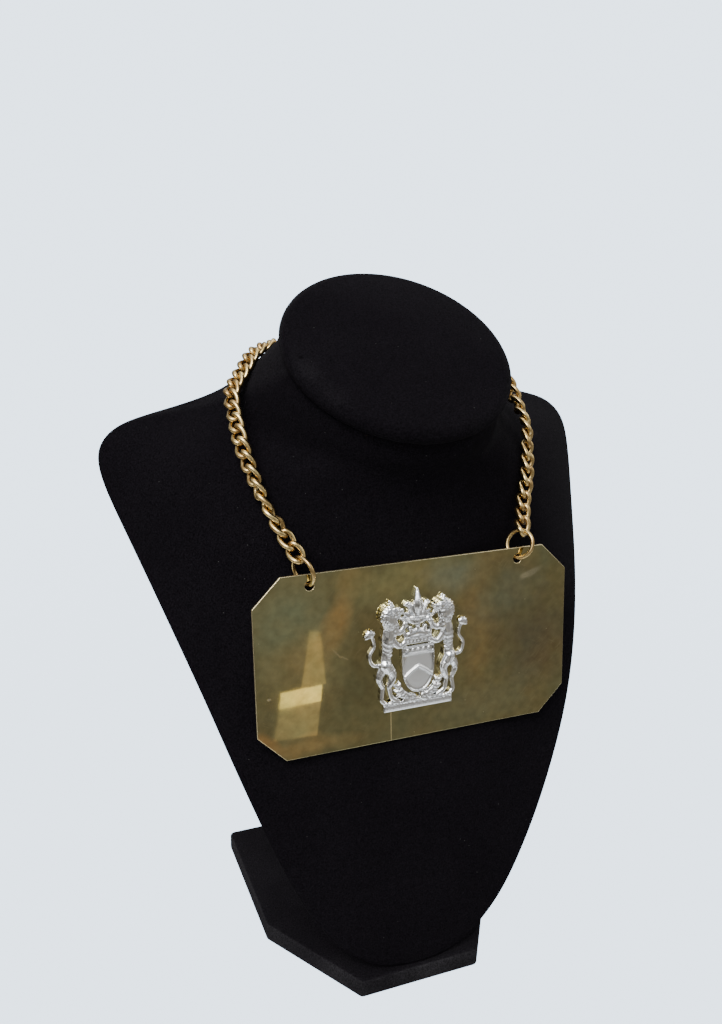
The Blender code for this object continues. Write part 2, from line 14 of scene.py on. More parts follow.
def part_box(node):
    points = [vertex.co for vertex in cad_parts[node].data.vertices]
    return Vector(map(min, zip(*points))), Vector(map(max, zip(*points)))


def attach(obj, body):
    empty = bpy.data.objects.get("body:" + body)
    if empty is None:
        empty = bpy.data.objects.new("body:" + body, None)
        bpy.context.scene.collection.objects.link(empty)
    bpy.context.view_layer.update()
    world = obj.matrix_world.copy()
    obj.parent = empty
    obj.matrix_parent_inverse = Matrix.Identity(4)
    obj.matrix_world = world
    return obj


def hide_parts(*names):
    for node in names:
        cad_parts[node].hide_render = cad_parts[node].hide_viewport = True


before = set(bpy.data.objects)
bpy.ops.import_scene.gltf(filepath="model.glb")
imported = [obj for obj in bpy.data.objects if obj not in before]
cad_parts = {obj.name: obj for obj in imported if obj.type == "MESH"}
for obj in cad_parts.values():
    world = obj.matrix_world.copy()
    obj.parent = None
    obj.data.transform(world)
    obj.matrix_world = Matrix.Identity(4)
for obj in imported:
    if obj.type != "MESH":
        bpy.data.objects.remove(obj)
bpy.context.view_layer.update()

# ---------------------------------------------------------------------------------------------
# Base board: fibreboard, six-sided, wrapped in black velvet whose folds round the corners show
# as soft edges.  The bust stands on its front end.
# ---------------------------------------------------------------------------------------------
MM = 0.001
BOARD_FRONT_HALF_WIDTH = 30.8 * MM  # straight front edge between the cut corners
BOARD_CUT_START = -12.8 * MM  # where each long side turns in towards the front
BOARD_CORNER_RADIUS = 2.6 * MM
BOARD_EDGE_RADIUS = 1.8 * MM
BOARD_WORN_AND_SHEEN_BELOW = 0.4 * MM  # the sides are worn and carry a painted sheen from this far under the top
VELVET_COLOUR = (0.0036, 0.0030, 0.0038, 1)
VELVET_NAP_COLOUR = (0.0054, 0.0046, 0.0057, 1)
# Pale pile: the colour of worn pile, and also of painted light, both the painted sheen and the painted
# highlights the mesh's attribute asks for
VELVET_WORN_AND_PAINTED_LIGHT_COLOUR = (0.0145, 0.0135, 0.0145, 1)
LINT_COLOUR = (0.06, 0.058, 0.055, 1)
NICK = Vector((-46.5, -8.6, 300.1)) * MM  # a small dent in the pile of the neck cap, not modelled: painted shade darkens a spot there
DENT_SHADE_COLOUR = (0.0008, 0.0007, 0.0009, 1)


def feed(tree, socket, value):
    """Gives an input its value, or a link from another node's output."""
    if isinstance(value, bpy.types.NodeSocket):
        tree.links.new(value, socket)
    else:
        socket.default_value = value


def add_node(tree, kind, inputs=None, output=0, **settings):
    """A new shader node with its settings and inputs; returns one of its outputs."""
    made = tree.nodes.new("ShaderNode" + kind)
    for name, value in settings.items():
        setattr(made, name, value)
    for name, value in (inputs or {}).items():
        feed(tree, made.inputs[name], value)
    return made.outputs[output]


def blend_colours(tree, factor, first, second, blend_type="MIX"):
    made = tree.nodes.new("ShaderNodeMix")
    made.data_type, made.blend_type = "RGBA", blend_type
    for index, value in ((0, factor), (6, first), (7, second)):
        feed(tree, made.inputs[index], value)
    return made.outputs[2]


def spread(tree, value, low, high, new_low=0.0, new_high=1.0):
    """Maps low..high to new_low..new_high, held at both ends."""
    inputs = {"Value": value, "From Min": low, "From Max": high, "To Min": new_low, "To Max": new_high}
    return add_node(tree, "MapRange", inputs)


def calculate(tree, operation, first, second=0.0):
    return add_node(tree, "Math", {0: first, 1: second}, operation=operation)


def new_material(name):
    material = bpy.data.materials.new(name)
    material.use_nodes = True
    return material, material.node_tree, material.node_tree.nodes["Principled BSDF"]


def add_piece(name, mesh, material, slot, *nodes, smooth=True, pose=None):
    """A finished piece that stands for CAD nodes and rides on the root body."""
    piece = bpy.data.objects.new(name, mesh)
    bpy.context.scene.collection.objects.link(piece)
    if pose:
        piece.matrix_world = pose
    if smooth:
        mesh.shade_smooth()
    mesh.materials.append(material)
    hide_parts(*nodes)
    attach(piece, "root")
    return piece


def black_velvet():
    """Short black pile with paler nap in patches, worn places and painted light where the mesh's attribute
    says, a painted sheen along grazing edges, a little lint and one dent darkened by painted shade.
    """
    velvet, tree, shader = new_material("black velvet")
    place = add_node(tree, "TexCoord", output="Object")
    patches = add_node(tree, "TexNoise", {"Vector": place, "Scale": 30.0, "Detail": 3.0})
    nap = spread(tree, patches, 0.40, 0.62, 0.0, 0.25)
    colour = blend_colours(tree, nap, VELVET_COLOUR, VELVET_NAP_COLOUR)
    # Worn pile and painted light (highlights, sheen and lightened shade), as strong as the mesh's own
    # attribute says
    worn_and_painted_light = add_node(tree, "Attribute", output="Fac", attribute_name="worn_and_painted_light")
    worn_and_painted_light = calculate(tree, "MULTIPLY", worn_and_painted_light, spread(tree, patches, 0.35, 0.60, 0.5, 1.0))
    colour = blend_colours(tree, worn_and_painted_light, colour, VELVET_WORN_AND_PAINTED_LIGHT_COLOUR)
    # Painted sheen: the pile's tips at a grazing angle, on faces that look up, lighten the colour itself
    sheen = add_node(tree, "LayerWeight", {"Blend": 0.5}, output="Facing")
    sheen = spread(tree, sheen, 0.45, 1.0, 0.0, 0.75)
    facing_up = add_node(tree, "NewGeometry", output="Normal")
    facing_up = add_node(tree, "SeparateXYZ", {"Vector": facing_up}, output="Z")
    sheen = calculate(tree, "MULTIPLY", sheen, spread(tree, facing_up, -0.25, 0.25))
    colour = blend_colours(tree, sheen, colour, VELVET_WORN_AND_PAINTED_LIGHT_COLOUR)
    # Single tufts
    tufts = {"Vector": place, "Scale": 1500.0, "Detail": 3.0, "Roughness": 0.7}
    tufts = add_node(tree, "TexNoise", tufts)
    colour = blend_colours(tree, 1.0, colour, spread(tree, tufts, 0.3, 0.7, 0.30, 1.9), "MULTIPLY")
    # The dent: a dark spot of painted shade
    dent_shade = add_node(tree, "VectorMath", {0: place, 1: NICK}, output="Value", operation="DISTANCE")
    dent_shade = spread(tree, dent_shade, 1.5 * MM, 0.4 * MM, 0.0, 0.7)
    colour = blend_colours(tree, dent_shade, colour, DENT_SHADE_COLOUR)
    # Lint: a dot in a few of the cells
    cells = tree.nodes.new("ShaderNodeTexVoronoi")
    feed(tree, cells.inputs["Vector"], place)
    cells.inputs["Scale"].default_value = 420.0
    dot = spread(tree, cells.outputs["Distance"], 0.10, 0.04)
    chosen = add_node(tree, "SeparateColor", {"Color": cells.outputs["Color"]})
    lint = calculate(tree, "MULTIPLY", dot, spread(tree, chosen, 0.93, 0.96))
    feed(tree, shader.inputs["Base Color"], blend_colours(tree, lint, colour, LINT_COLOUR))
    bump = add_node(tree, "Bump", {"Height": tufts, "Distance": 0.0004, "Strength": 0.35})
    feed(tree, shader.inputs["Normal"], bump)
    shader.inputs["Roughness"].default_value = 1.0
    shader.inputs["Specular IOR Level"].default_value = 0.02
    return velvet


def loft(bm, rows):
    """Quads between rows of equal length; returns the rows' vertices."""
    rings = [[bm.verts.new(point) for point in row] for row in rows]
    for low, high in zip(rings, rings[1:]):
        for i in range(len(low)):
            j = (i + 1) % len(low)
            bm.faces.new((low[i], low[j], high[j], high[i]))
    return rings


def finish_mesh(bm, name):
    mesh = bpy.data.meshes.new(name)
    bm.to_mesh(mesh)
    bm.free()
    return mesh


def rounded_outline(corners, radius, steps=6):
    """A convex outline with rounded corners: points, and the outward direction at each."""
    points = []
    count = len(corners)
    for i, corner in enumerate(corners):
        corner = Vector(corner)
        before = (Vector(corners[i - 1]) - corner).normalized()
        after = (Vector(corners[(i + 1) % count]) - corner).normalized()
        half_angle = before.angle(after) / 2
        centre = corner + (before + after).normalized() * radius / math.sin(half_angle)
        start = corner + before * radius / math.tan(half_angle) - centre
        end = corner + after * radius / math.tan(half_angle) - centre
        for k in range(steps + 1):
            out = start.lerp(end, k / steps).normalized()
            points.append((centre + out * radius, out))
    return points


def slab_mesh(name, outline, low, high, edge_radius, steps=5):
    """A flat-faced slab between two heights whose top and bottom edges are rounded."""
    levels = []
    for k in range(steps + 1):
        a = math.pi / 2 * k / steps
        levels.append((edge_radius * (1 - math.sin(a)), low + edge_radius * (1 - math.cos(a))))
    levels += [(inset, low + high - z) for inset, z in reversed(levels)]
    bm = bmesh.new()
    rows = [[(*(point - out * inset), z) for point, out in outline] for inset, z in levels]
    rings = loft(bm, rows)
    bm.faces.new(rings[0][::-1])
    bm.faces.new(rings[-1])
    return finish_mesh(bm, name)


board_low, board_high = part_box("base_board")
board_right = [
    (BOARD_FRONT_HALF_WIDTH, board_low[1]),
    (board_high[0], BOARD_CUT_START),
    (board_high[0], board_high[1]),
]
board_corners = board_right + [(-x, y) for x, y in reversed(board_right)]
board_outline = rounded_outline(board_corners, BOARD_CORNER_RADIUS)
board_mesh = slab_mesh("board", board_outline, board_low[2], board_high[2], BOARD_EDGE_RADIUS)
# The board's sides are lighter than its top: worn pile, and a painted sheen where the pile catches light at a
# grazing angle
board_worn_and_sheen = board_mesh.attributes.new("worn_and_painted_light", "FLOAT", "POINT")
for vert, share in zip(board_mesh.vertices, board_worn_and_sheen.data):
    share.value = 1.0 if vert.co.z < board_high[2] - BOARD_WORN_AND_SHEEN_BELOW else 0.25
velvet = black_velvet()
add_piece("velvet_board", board_mesh, velvet, "black_velvet", "base_board")

# ---------------------------------------------------------------------------------------------
# Bust: a hollow moulded neck and chest with a flat back, covered in black velvet.  It leans on
# a strut, stands on its tip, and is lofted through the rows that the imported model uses.
# ---------------------------------------------------------------------------------------------
BUST_COLUMNS = "z_front z_side z_back half_width y_front y_side y_back bulge roundness rim".split()
BUST_ROWS = (  # millimetres, from the tip on the board to the top of the neck
    (10.9, 10.9, 10.9, 11.0, -61.6, -60.6, -56.5, 2.0, 1.0, 3.0),
    (12.5, 12.5, 12.5, 18.0, -62.3, -60.4, -56.3, 2.0, 1.0, 3.0),
    (17.0, 17.0, 17.0, 27.0, -62.3, -59.8, -55.5, 2.0, 1.0, 3.0),
    (24.0, 24.0, 24.0, 35.5, -61.6, -58.6, -54.3, 2.1, 1.0, 3.5),
    (35.0, 35.0, 35.0, 46.0, -60.3, -56.8, -52.3, 2.2, 1.0, 4.0),
    (51.0, 51.0, 51.0, 56.0, -58.2, -53.6, -49.1, 2.3, 1.0, 4.0),
    (73.0, 73.0, 73.0, 65.8, -54.8, -50.6, -46.0, 2.4, 1.0, 4.0),
    (99.0, 99.0, 99.0, 75.6, -50.5, -45.9, -41.3, 2.5, 1.0, 4.0),
    (127.0, 127.0, 127.0, 85.6, -44.4, -38.6, -33.8, 2.6, 1.0, 4.0),
    (155.0, 155.0, 155.0, 95.0, -40.3, -25.8, -21.0, 2.7, 1.0, 4.0),
    (181.0, 181.0, 181.0, 104.5, -36.8, -7.0, -2.5, 2.8, 1.0, 4.0),
    (203.0, 203.0, 203.0, 112.6, -33.8, 13.0, 17.5, 2.7, 1.0, 4.0),
    (221.0, 221.0, 221.0, 119.5, -33.0, 30.0, 34.5, 2.4, 1.0, 4.0),
    (236.0, 236.0, 237.0, 125.0, -34.0, 44.0, 48.0, 2.05, 1.0, 4.0),
    (246.0, 248.5, 250.5, 126.0, -35.5, 53.0, 56.0, 1.85, 1.0, 3.0),
    (252.0, 258.8, 261.0, 115.5, -38.0, 56.5, 59.5, 1.8, 1.0, 3.0),
    (255.5, 263.0, 269.0, 94.0, -40.0, 55.5, 60.0, 1.9, 1.05, 4.0),
    (258.0, 267.0, 278.0, 75.5, -41.5, 48.0, 58.5, 2.1, 1.2, 7.0),
    (260.0, 274.5, 286.5, 64.5, -42.5, 34.0, 57.5, 2.2, 1.4, 12.0),
    (262.0, 282.0, 297.5, 57.8, -43.2, 18.0, 56.5, 2.1, 1.7, 16.0),
    (265.0, 288.5, 309.0, 52.6, -43.8, 5.0, 53.0, 2.0, 1.9, 12.0),
    (269.1, 292.1, 318.9, 49.2, -44.0, -2.0, 48.0, 2.0, 2.0, 1.0),
)
BUST_FRONT_POINTS = 13
BUST_BACK_POINTS = 9


def bust_ring(row):
    """One closed row of the bust: across the front, left to right, then back across the back."""
    r = dict(zip(BUST_COLUMNS, row))
    points = []
    for i in range(BUST_FRONT_POINTS):
        t = math.radians(-90 + 180 * i / (BUST_FRONT_POINTS - 1))
        side = min(abs(math.sin(t)), 1) ** r["bulge"]
        back = 1 - (1 - side) ** (1 / r["roundness"])
        y = r["y_front"] + (r["y_side"] - r["y_front"]) * back
        z = r["z_side"] + (r["z_front"] - r["z_side"]) * math.cos(t)
        points.append((r["half_width"] * math.sin(t), y, z))
    rim_y = r["y_side"] + r["rim"]
    for i in range(BUST_BACK_POINTS):
        t = math.radians(90 - 180 * i / (BUST_BACK_POINTS - 1))
        y = rim_y + (r["y_back"] - rim_y) * math.cos(t)
        z = r["z_side"] + (r["z_back"] - r["z_side"]) * math.cos(t)
        points.append((r["half_width"] * math.sin(t), y, z))
    return [Vector(p) * MM for p in points]


def bust_mesh():
    """The bust's coarse form, with both end faces creased so that smoothing keeps them flat."""
    bm = bmesh.new()
    rings = loft(bm, [bust_ring(row) for row in BUST_ROWS])
    crease = bm.edges.layers.float.new("crease_edge")
    for end_face in (bm.faces.new(rings[0][::-1]), bm.faces.new(rings[-1])):
        for edge in end_face.edges:
            edge[crease] = 1
    return finish_mesh(bm, "bust")


bust = add_piece("velvet_bust", bust_mesh(), velvet, "black_velvet", "bust_form")
bust_form = bust.modifiers.new("smooth form", "SUBSURF")
bust_form.levels = bust_form.render_levels = 3

# ---------------------------------------------------------------------------------------------
# Neck cap: a velvet-covered disc with a rolled rim, glued on the sloping top of the neck and a
# little wider than it, so that a dark groove runs round beneath the rim.
# ---------------------------------------------------------------------------------------------
CAP_CENTRE = Vector((0, -1.2 * MM, 298.4 * MM))
CAP_TILT = math.radians(28.5)  # front edge lower than the back
CAP_HALF_WIDTH = 52.0 * MM
CAP_LENGTH_RATIO = 1.068  # how much longer it is from front to back than from side to side
CAP_HALF_THICKNESS = 4.8 * MM
CAP_DOME = 2.6 * MM  # how far the middle of its top stands above the rim
CAP_STEPS = 128
CAP_FADE = 15 * MM  # over which each patch of the table below fades inwards from the rim
# Where the pile is worn and where light is painted on it: turn round the cap in degrees, spread, share of the
# way down the roll, spread, strength.  A spread of more than a full turn goes all the way round.  The row
# that goes all the way round is painted light that evens out the shade beneath the rim, the other row at 256
# degrees, low on the roll, is a painted highlight along the front, and the rest are worn pile.
CAP_WORN_AND_PAINTED_LIGHT = (
    (198, 13, 0.02, 0.30, 0.26),
    (214, 12, 0.10, 0.30, 0.18),
    (256, 34, 0.80, 0.20, 0.30),
    (256, 900, 0.85, 0.25, 0.18),
    (305, 26, 0.42, 0.30, 0.22),
)


def cap_profile():
    """Radius and height from the middle of the top, round the rim, to the middle below."""
    half, dome = CAP_HALF_THICKNESS, CAP_DOME
    flat = CAP_HALF_WIDTH - half
    points = []
    for k in range(1, 9):
        t = k / 8
        points.append((flat * t, half + dome * (1 - t**2.4)))
    for k in range(1, 13):
        a = math.radians(90 - 15 * k)
        points.append((flat + half * math.cos(a), half * math.sin(a)))
    points.append((flat * 0.5, -half))
    return points


def worn_and_painted_light_share(point):
    """How much worn pile and painted light there is at a point of the untilted cap."""
    x, y = point.x, point.y / CAP_LENGTH_RATIO
    radius, azimuth = math.hypot(x, y), math.degrees(math.atan2(y, x)) % 360
    inner = CAP_HALF_WIDTH - CAP_HALF_THICKNESS
    down = (radius - inner) / CAP_FADE
    if radius > inner:
        down = 0.5 - math.degrees(math.atan2(point.z, radius - inner)) / 180
    share = 0.0
    for turn, turn_spread, middle, spread_down, strength in CAP_WORN_AND_PAINTED_LIGHT:
        off = ((azimuth - turn) / turn_spread) ** 2 + ((down - middle) / spread_down) ** 2
        share = max(share, strength * math.exp(-off))
    return share


def cap_mesh():
    """The cap turned from its profile, stretched to an oval and tilted, with its worn places and painted
    light.
    """
    bm = bmesh.new()
    turn = [2 * math.pi * i / CAP_STEPS for i in range(CAP_STEPS)]
    rows = []
    for radius, height in cap_profile():
        row = [(radius * math.cos(a), radius * math.sin(a) * CAP_LENGTH_RATIO, height) for a in turn]
        rows.append([Vector(point) for point in reversed(row)])
    rings = loft(bm, rows)
    for ring, height in ((rings[0], CAP_HALF_THICKNESS + CAP_DOME), (rings[-1], -CAP_HALF_THICKNESS)):
        middle = bm.verts.new((0, 0, height))
        for i in range(CAP_STEPS):
            bm.faces.new((ring[i], ring[(i + 1) % CAP_STEPS], middle))
    bmesh.ops.recalc_face_normals(bm, faces=bm.faces)
    shares = [worn_and_painted_light_share(vert.co) for vert in bm.verts]
    bm.transform(Matrix.Translation(CAP_CENTRE) @ Matrix.Rotation(CAP_TILT, 4, "X"))
    mesh = finish_mesh(bm, "cap")
    mesh.attributes.new("worn_and_painted_light", "FLOAT", "POINT").data.foreach_set("value", shares)
    return mesh


add_piece("velvet_neck_cap", cap_mesh(), velvet, "black_velvet", "neck_cap")

# ---------------------------------------------------------------------------------------------
# Strut: a plain wooden leg under velvet that props the bust from behind.  Its shape is the
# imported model's own; it gets the velvet and softer edges.
# ---------------------------------------------------------------------------------------------
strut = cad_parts["back_strut"]
strut.data.materials.clear()
strut.data.materials.append(velvet)
strut_edges = strut.modifiers.new("soft edges", "BEVEL")
strut_edges.width = 1.2 * MM
strut_edges.segments = 3

# ---------------------------------------------------------------------------------------------
# Plate: a flat brass sheet with four cut corners, once polished, now cloudy with tarnish and
# finely scratched.  Two holes near the top edge take the jump rings, two small ones the posts.
# ---------------------------------------------------------------------------------------------
PLATE_CENTRE = Vector((0, -39.8 * MM, 171.2 * MM))
PLATE_LEAN = 8  # degrees, top edge tipped back
PLATE_POSE = Matrix.Translation(PLATE_CENTRE) @ Matrix.Rotation(math.radians(90 - PLATE_LEAN), 4, "X")
PLATE_HALF_WIDTH = 76.2 * MM
PLATE_HALF_HEIGHT = 41.8 * MM
PLATE_CORNER_CUT = 12.7 * MM
PLATE_THICKNESS = 1.2 * MM
PLATE_EDGE = 0.28 * MM  # radius of its worn edges
RING_HOLE_X = 50.5 * MM
RING_HOLE_BELOW_TOP = 5.3 * MM
RING_HOLE_RADIUS = 2.15 * MM
BADGE_MIDDLE = (-1.0, 1.0)  # millimetres, in the plate's own plane
POST_SPOTS = ((-13.0, -25.5), (13.0, -25.5))  # millimetres from the badge's middle
POST_HOLE_RADIUS = 1.45 * MM
BRASS_COLOUR = (0.38, 0.335, 0.155, 1)
BRASS_CLOUD_COLOUR = (0.335, 0.28, 0.135, 1)
COOL_TINT = (0.95, 1.05, 1.12, 1)
WARM_TINT = (1.07, 1.01, 0.95, 1)
SCRATCH_COLOUR = (0.62, 0.54, 0.31, 1)
# Bright edges: brass worn through its tarnish, and a painted highlight along them
EDGE_WEAR_AND_HIGHLIGHT_COLOUR = (0.86, 0.72, 0.42, 1)
# Soft stains of tarnish, some of them also painted reflections and painted shade that the polished plate
# shows, in the plate's own plane: x, y, half width, half height in millimetres, turn in degrees, colour,
# strength
STAINS_AND_REFLECTIONS = (
    (-60, 24, 26, 22, 10, (0.455, 0.450, 0.245), 0.85),
    (-38, 20, 5, 20, -18, (0.78, 0.50, 0.19), 0.85),
    (-50, 0, 18, 16, 0, (0.54, 0.45, 0.21), 0.75),
    (-8, 34, 30, 8, 4, (0.57, 0.50, 0.22), 0.80),
    (18, 33, 12, 7, 0, (0.47, 0.48, 0.32), 0.70),
    (-26, -10, 12, 26, -8, (0.29, 0.245, 0.115), 0.75),
    (-36, -32, 26, 10, 4, (0.36, 0.32, 0.15), 0.60),
    (30, 16, 7, 30, -6, (0.52, 0.385, 0.175), 0.80),
    (47, 22, 16, 10, 30, (0.36, 0.35, 0.215), 0.70),
    (60, -6, 18, 20, 20, (0.275, 0.225, 0.135), 0.80),
    (38, -30, 24, 9, 8, (0.37, 0.345, 0.19), 0.70),
    (-71, -33, 9, 2.5, -40, (0.70, 0.42, 0.16), 0.90),
    (-54, -37, 16, 4, 2, (0.68, 0.47, 0.19), 0.80),
    (-30, 36, 9, 6, 0, (0.56, 0.42, 0.17), 0.70),
)
# Small pale marks where metal was rubbed bright or polish has dried, in the same columns
MARKS = (
    (57.6, 28.9, 6.0, 1.6, 22, (0.56, 0.51, 0.33), 0.6),
    (54.3, 28.0, 2.2, 1.2, 10, (0.66, 0.58, 0.36), 0.6),
    (-70.4, -11.9, 0.9, 0.6, 0, (0.62, 0.55, 0.40), 0.7),
    (-13.8, -34.0, 0.22, 7.5, 0, (0.80, 0.66, 0.34), 0.9),
    (-38.9, 4.0, 0.5, 4.0, 40, (0.55, 0.46, 0.28), 0.6),
    (-36.2, 2.0, 3.0, 0.5, -30, (0.55, 0.46, 0.28), 0.5),
)
HAIRLINES = (  # direction in radians, density, fineness
    (-0.72, 0.10, 3200.0), (-0.95, 0.08, 2600.0), (0.5, 0.06, 2900.0),
)
SPECKS = ((120.0, 0.07, 0.055), (420.0, 0.05, 0.10))  # scale, share of cells, size
CLEAR_ROUGHNESS = 0.018
HAZY_ROUGHNESS = 0.05
DULL_ROUGHNESS = 0.35  # in scratches, specks and marks and along the edges


def new_group(name, inputs, outputs):
    """A shader node group with float or colour sockets; returns it and its two end nodes."""
    group = bpy.data.node_groups.new(name, "ShaderNodeTree")
    for direction, sockets in (("INPUT", inputs), ("OUTPUT", outputs)):
        for socket, default in sockets.items():
            kind = "NodeSocketFloat" if isinstance(default, float) else "NodeSocketColor"
            made = group.interface.new_socket(socket, in_out=direction, socket_type=kind)
            made.default_value = default
    return group, group.nodes.new("NodeGroupInput"), group.nodes.new("NodeGroupOutput")


def place_group(tree, group, inputs=None):
    made = tree.nodes.new("ShaderNodeGroup")
    made.node_tree = group
    for name, value in (inputs or {}).items():
        feed(tree, made.inputs[name], value)
    return made


def soft_patch(tree, spot, x, y, half_wide, half_high, turn, softness, wobble):
    """1 inside an oval patch of the plate's plane, fading to 0 beyond its rim; lengths in mm."""
    moved = add_node(tree, "VectorMath", {0: spot, 1: (-x * MM, -y * MM, 0)}, operation="ADD")
    turned = {"Vector": moved, "Axis": (0, 0, 1), "Angle": -math.radians(turn)}
    moved = add_node(tree, "VectorRotate", turned, rotation_type="AXIS_ANGLE")
    scale = (1 / (half_wide * MM), 1 / (half_high * MM), 0)
    moved = add_node(tree, "VectorMath", {0: moved, 1: scale}, operation="MULTIPLY")
    reach = add_node(tree, "VectorMath", {0: moved}, output="Value", operation="LENGTH")
    reach = calculate(tree, "ADD", reach, wobble)
    return spread(tree, reach, 1 + softness, 1 - softness)


def hairlines_group():
    """Hairline scratches of one direction: long thin noise, cut off to leave only its crests."""
    group, given, result = new_group(
        "hairlines", {"Angle": 0.0, "Density": 0.1, "Fineness": 1500.0}, {"Mask": 0.0}
    )
    place = add_node(group, "TexCoord", output="Object")
    turned = {"Vector": place, "Axis": (0, 0, 1), "Angle": given.outputs["Angle"]}
    turned = add_node(group, "VectorRotate", turned, rotation_type="AXIS_ANGLE")
    bend = add_node(group, "TexNoise", {"Vector": place, "Scale": 9.0}, output="Color")
    bent = {0: bend, 1: (0.004, 0.004, 0.0), 2: turned}
    bent = add_node(group, "VectorMath", bent, operation="MULTIPLY_ADD")
    drawn = add_node(group, "VectorMath", {0: bent, 1: (0.045, 1.0, 0.045)}, operation="MULTIPLY")
    noise = {"Vector": drawn, "Scale": given.outputs["Fineness"], "Detail": 1.0}
    noise = add_node(group, "TexNoise", noise)
    low = calculate(group, "SUBTRACT", 0.74, given.outputs["Density"])
    lines = spread(group, noise, low, calculate(group, "ADD", low, 0.06))
    patches = add_node(group, "TexNoise", {"Vector": place, "Scale": 45.0})
    mask = calculate(group, "MULTIPLY", lines, spread(group, patches, 0.40, 0.62))
    feed(group, result.inputs["Mask"], mask)
    return group


def specks_group():
    """Small round dots scattered at random, one in a share of the cells."""
    group, given, result = new_group(
        "specks", {"Scale": 300.0, "Share": 0.1, "Size": 0.1}, {"Mask": 0.0}
    )
    cells = group.nodes.new("ShaderNodeTexVoronoi")
    feed(group, cells.inputs["Vector"], add_node(group, "TexCoord", output="Object"))
    feed(group, cells.inputs["Scale"], given.outputs["Scale"])
    size = given.outputs["Size"]
    dot = spread(group, cells.outputs["Distance"], size, calculate(group, "MULTIPLY", size, 0.4))
    picked = add_node(group, "SeparateColor", {"Color": cells.outputs["Color"]})
    chosen = calculate(group, "LESS_THAN", picked, given.outputs["Share"])
    feed(group, result.inputs["Mask"], calculate(group, "MULTIPLY", dot, chosen))
    return group


def flat_plate_mesh():
    """The plate with its holes in its own XY plane, with rounded edges."""
    edge = PLATE_EDGE
    x, y = PLATE_HALF_WIDTH - edge, PLATE_HALF_HEIGHT - edge
    cut = PLATE_CORNER_CUT - (2 - math.sqrt(2)) * edge
    right = [(x - cut, -y), (x, -y + cut), (x, y - cut), (x - cut, y)]
    corners = right + [(-px, py) for px, py in reversed(right)]
    outlines = [[point for point, _ in rounded_outline(corners, 0.5 * MM, 3)]]
    ring_hole_y = PLATE_HALF_HEIGHT - RING_HOLE_BELOW_TOP
    holes = [((side * RING_HOLE_X, ring_hole_y), RING_HOLE_RADIUS) for side in (-1, 1)]
    for post in POST_SPOTS:
        spot = ((post[0] + BADGE_MIDDLE[0]) * MM, (post[1] + BADGE_MIDDLE[1]) * MM)
        holes.append((spot, POST_HOLE_RADIUS))
    for spot, radius in holes:
        turn = (2 * math.pi * k / 48 for k in range(48))
        around = [Vector((math.cos(a), math.sin(a))) * (radius + edge) for a in turn]
        outlines.append([Vector(spot) + way for way in around])
    curve = bpy.data.curves.new("plate", "CURVE")
    curve.dimensions = "2D"
    curve.fill_mode = "BOTH"
    curve.extrude = PLATE_THICKNESS / 2 - edge
    curve.bevel_depth = edge
    curve.bevel_resolution = 3
    for outline in outlines:
        spline = curve.splines.new("POLY")
        spline.points.add(len(outline) - 1)
        for point, place in zip(spline.points, outline):
            point.co = (place[0], place[1], 0, 1)
        spline.use_cyclic_u = True
    drawn = bpy.data.objects.new("plate outline", curve)
    bpy.context.scene.collection.objects.link(drawn)
    graph = bpy.context.evaluated_depsgraph_get()
    mesh = bpy.data.meshes.new_from_object(drawn.evaluated_get(graph))
    bpy.data.objects.remove(drawn)
    bm = bmesh.new()
    bm.from_mesh(mesh)
    bmesh.ops.remove_doubles(bm, verts=bm.verts, dist=1e-6)
    bmesh.ops.recalc_face_normals(bm, faces=bm.faces)
    bm.to_mesh(mesh)
    bm.free()
    mesh.materials.clear()
    return mesh


def cloudy_brass(tree, spot, ragged):
    """Colour of the brass: soft clouds, the stains with the painted reflections and shade among them, a slow
    drift of hue and a fine mottle.
    """
    clouds = {"Vector": spot, "Scale": 38.0, "Detail": 6.0, "Roughness": 0.62}
    clouds = spread(tree, add_node(tree, "TexNoise", clouds), 0.30, 0.70)
    colour = blend_colours(tree, clouds, BRASS_CLOUD_COLOUR, BRASS_COLOUR)
    # Stains of tarnish, and among them painted reflections and painted shade
    for *shape, stain_and_reflection_colour, strength in STAINS_AND_REFLECTIONS:
        stain_and_reflection = soft_patch(tree, spot, *shape, 0.55, ragged)
        stain_and_reflection = calculate(tree, "MULTIPLY", stain_and_reflection, strength)
        colour = blend_colours(tree, stain_and_reflection, colour, (*stain_and_reflection_colour, 1))
    drift = {"Vector": spot, "Scale": 42.0, "Detail": 5.0, "Roughness": 0.5}
    drift = spread(tree, add_node(tree, "TexNoise", drift), 0.34, 0.66)
    tints = blend_colours(tree, drift, COOL_TINT, WARM_TINT)
    colour = blend_colours(tree, 1.0, colour, tints, "MULTIPLY")
    mottle = add_node(tree, "TexNoise", {"Vector": spot, "Scale": 260.0, "Detail": 4.0})
    mottle = spread(tree, mottle, 0.3, 0.7, 0.87, 1.13)
    return blend_colours(tree, 1.0, colour, mottle, "MULTIPLY")


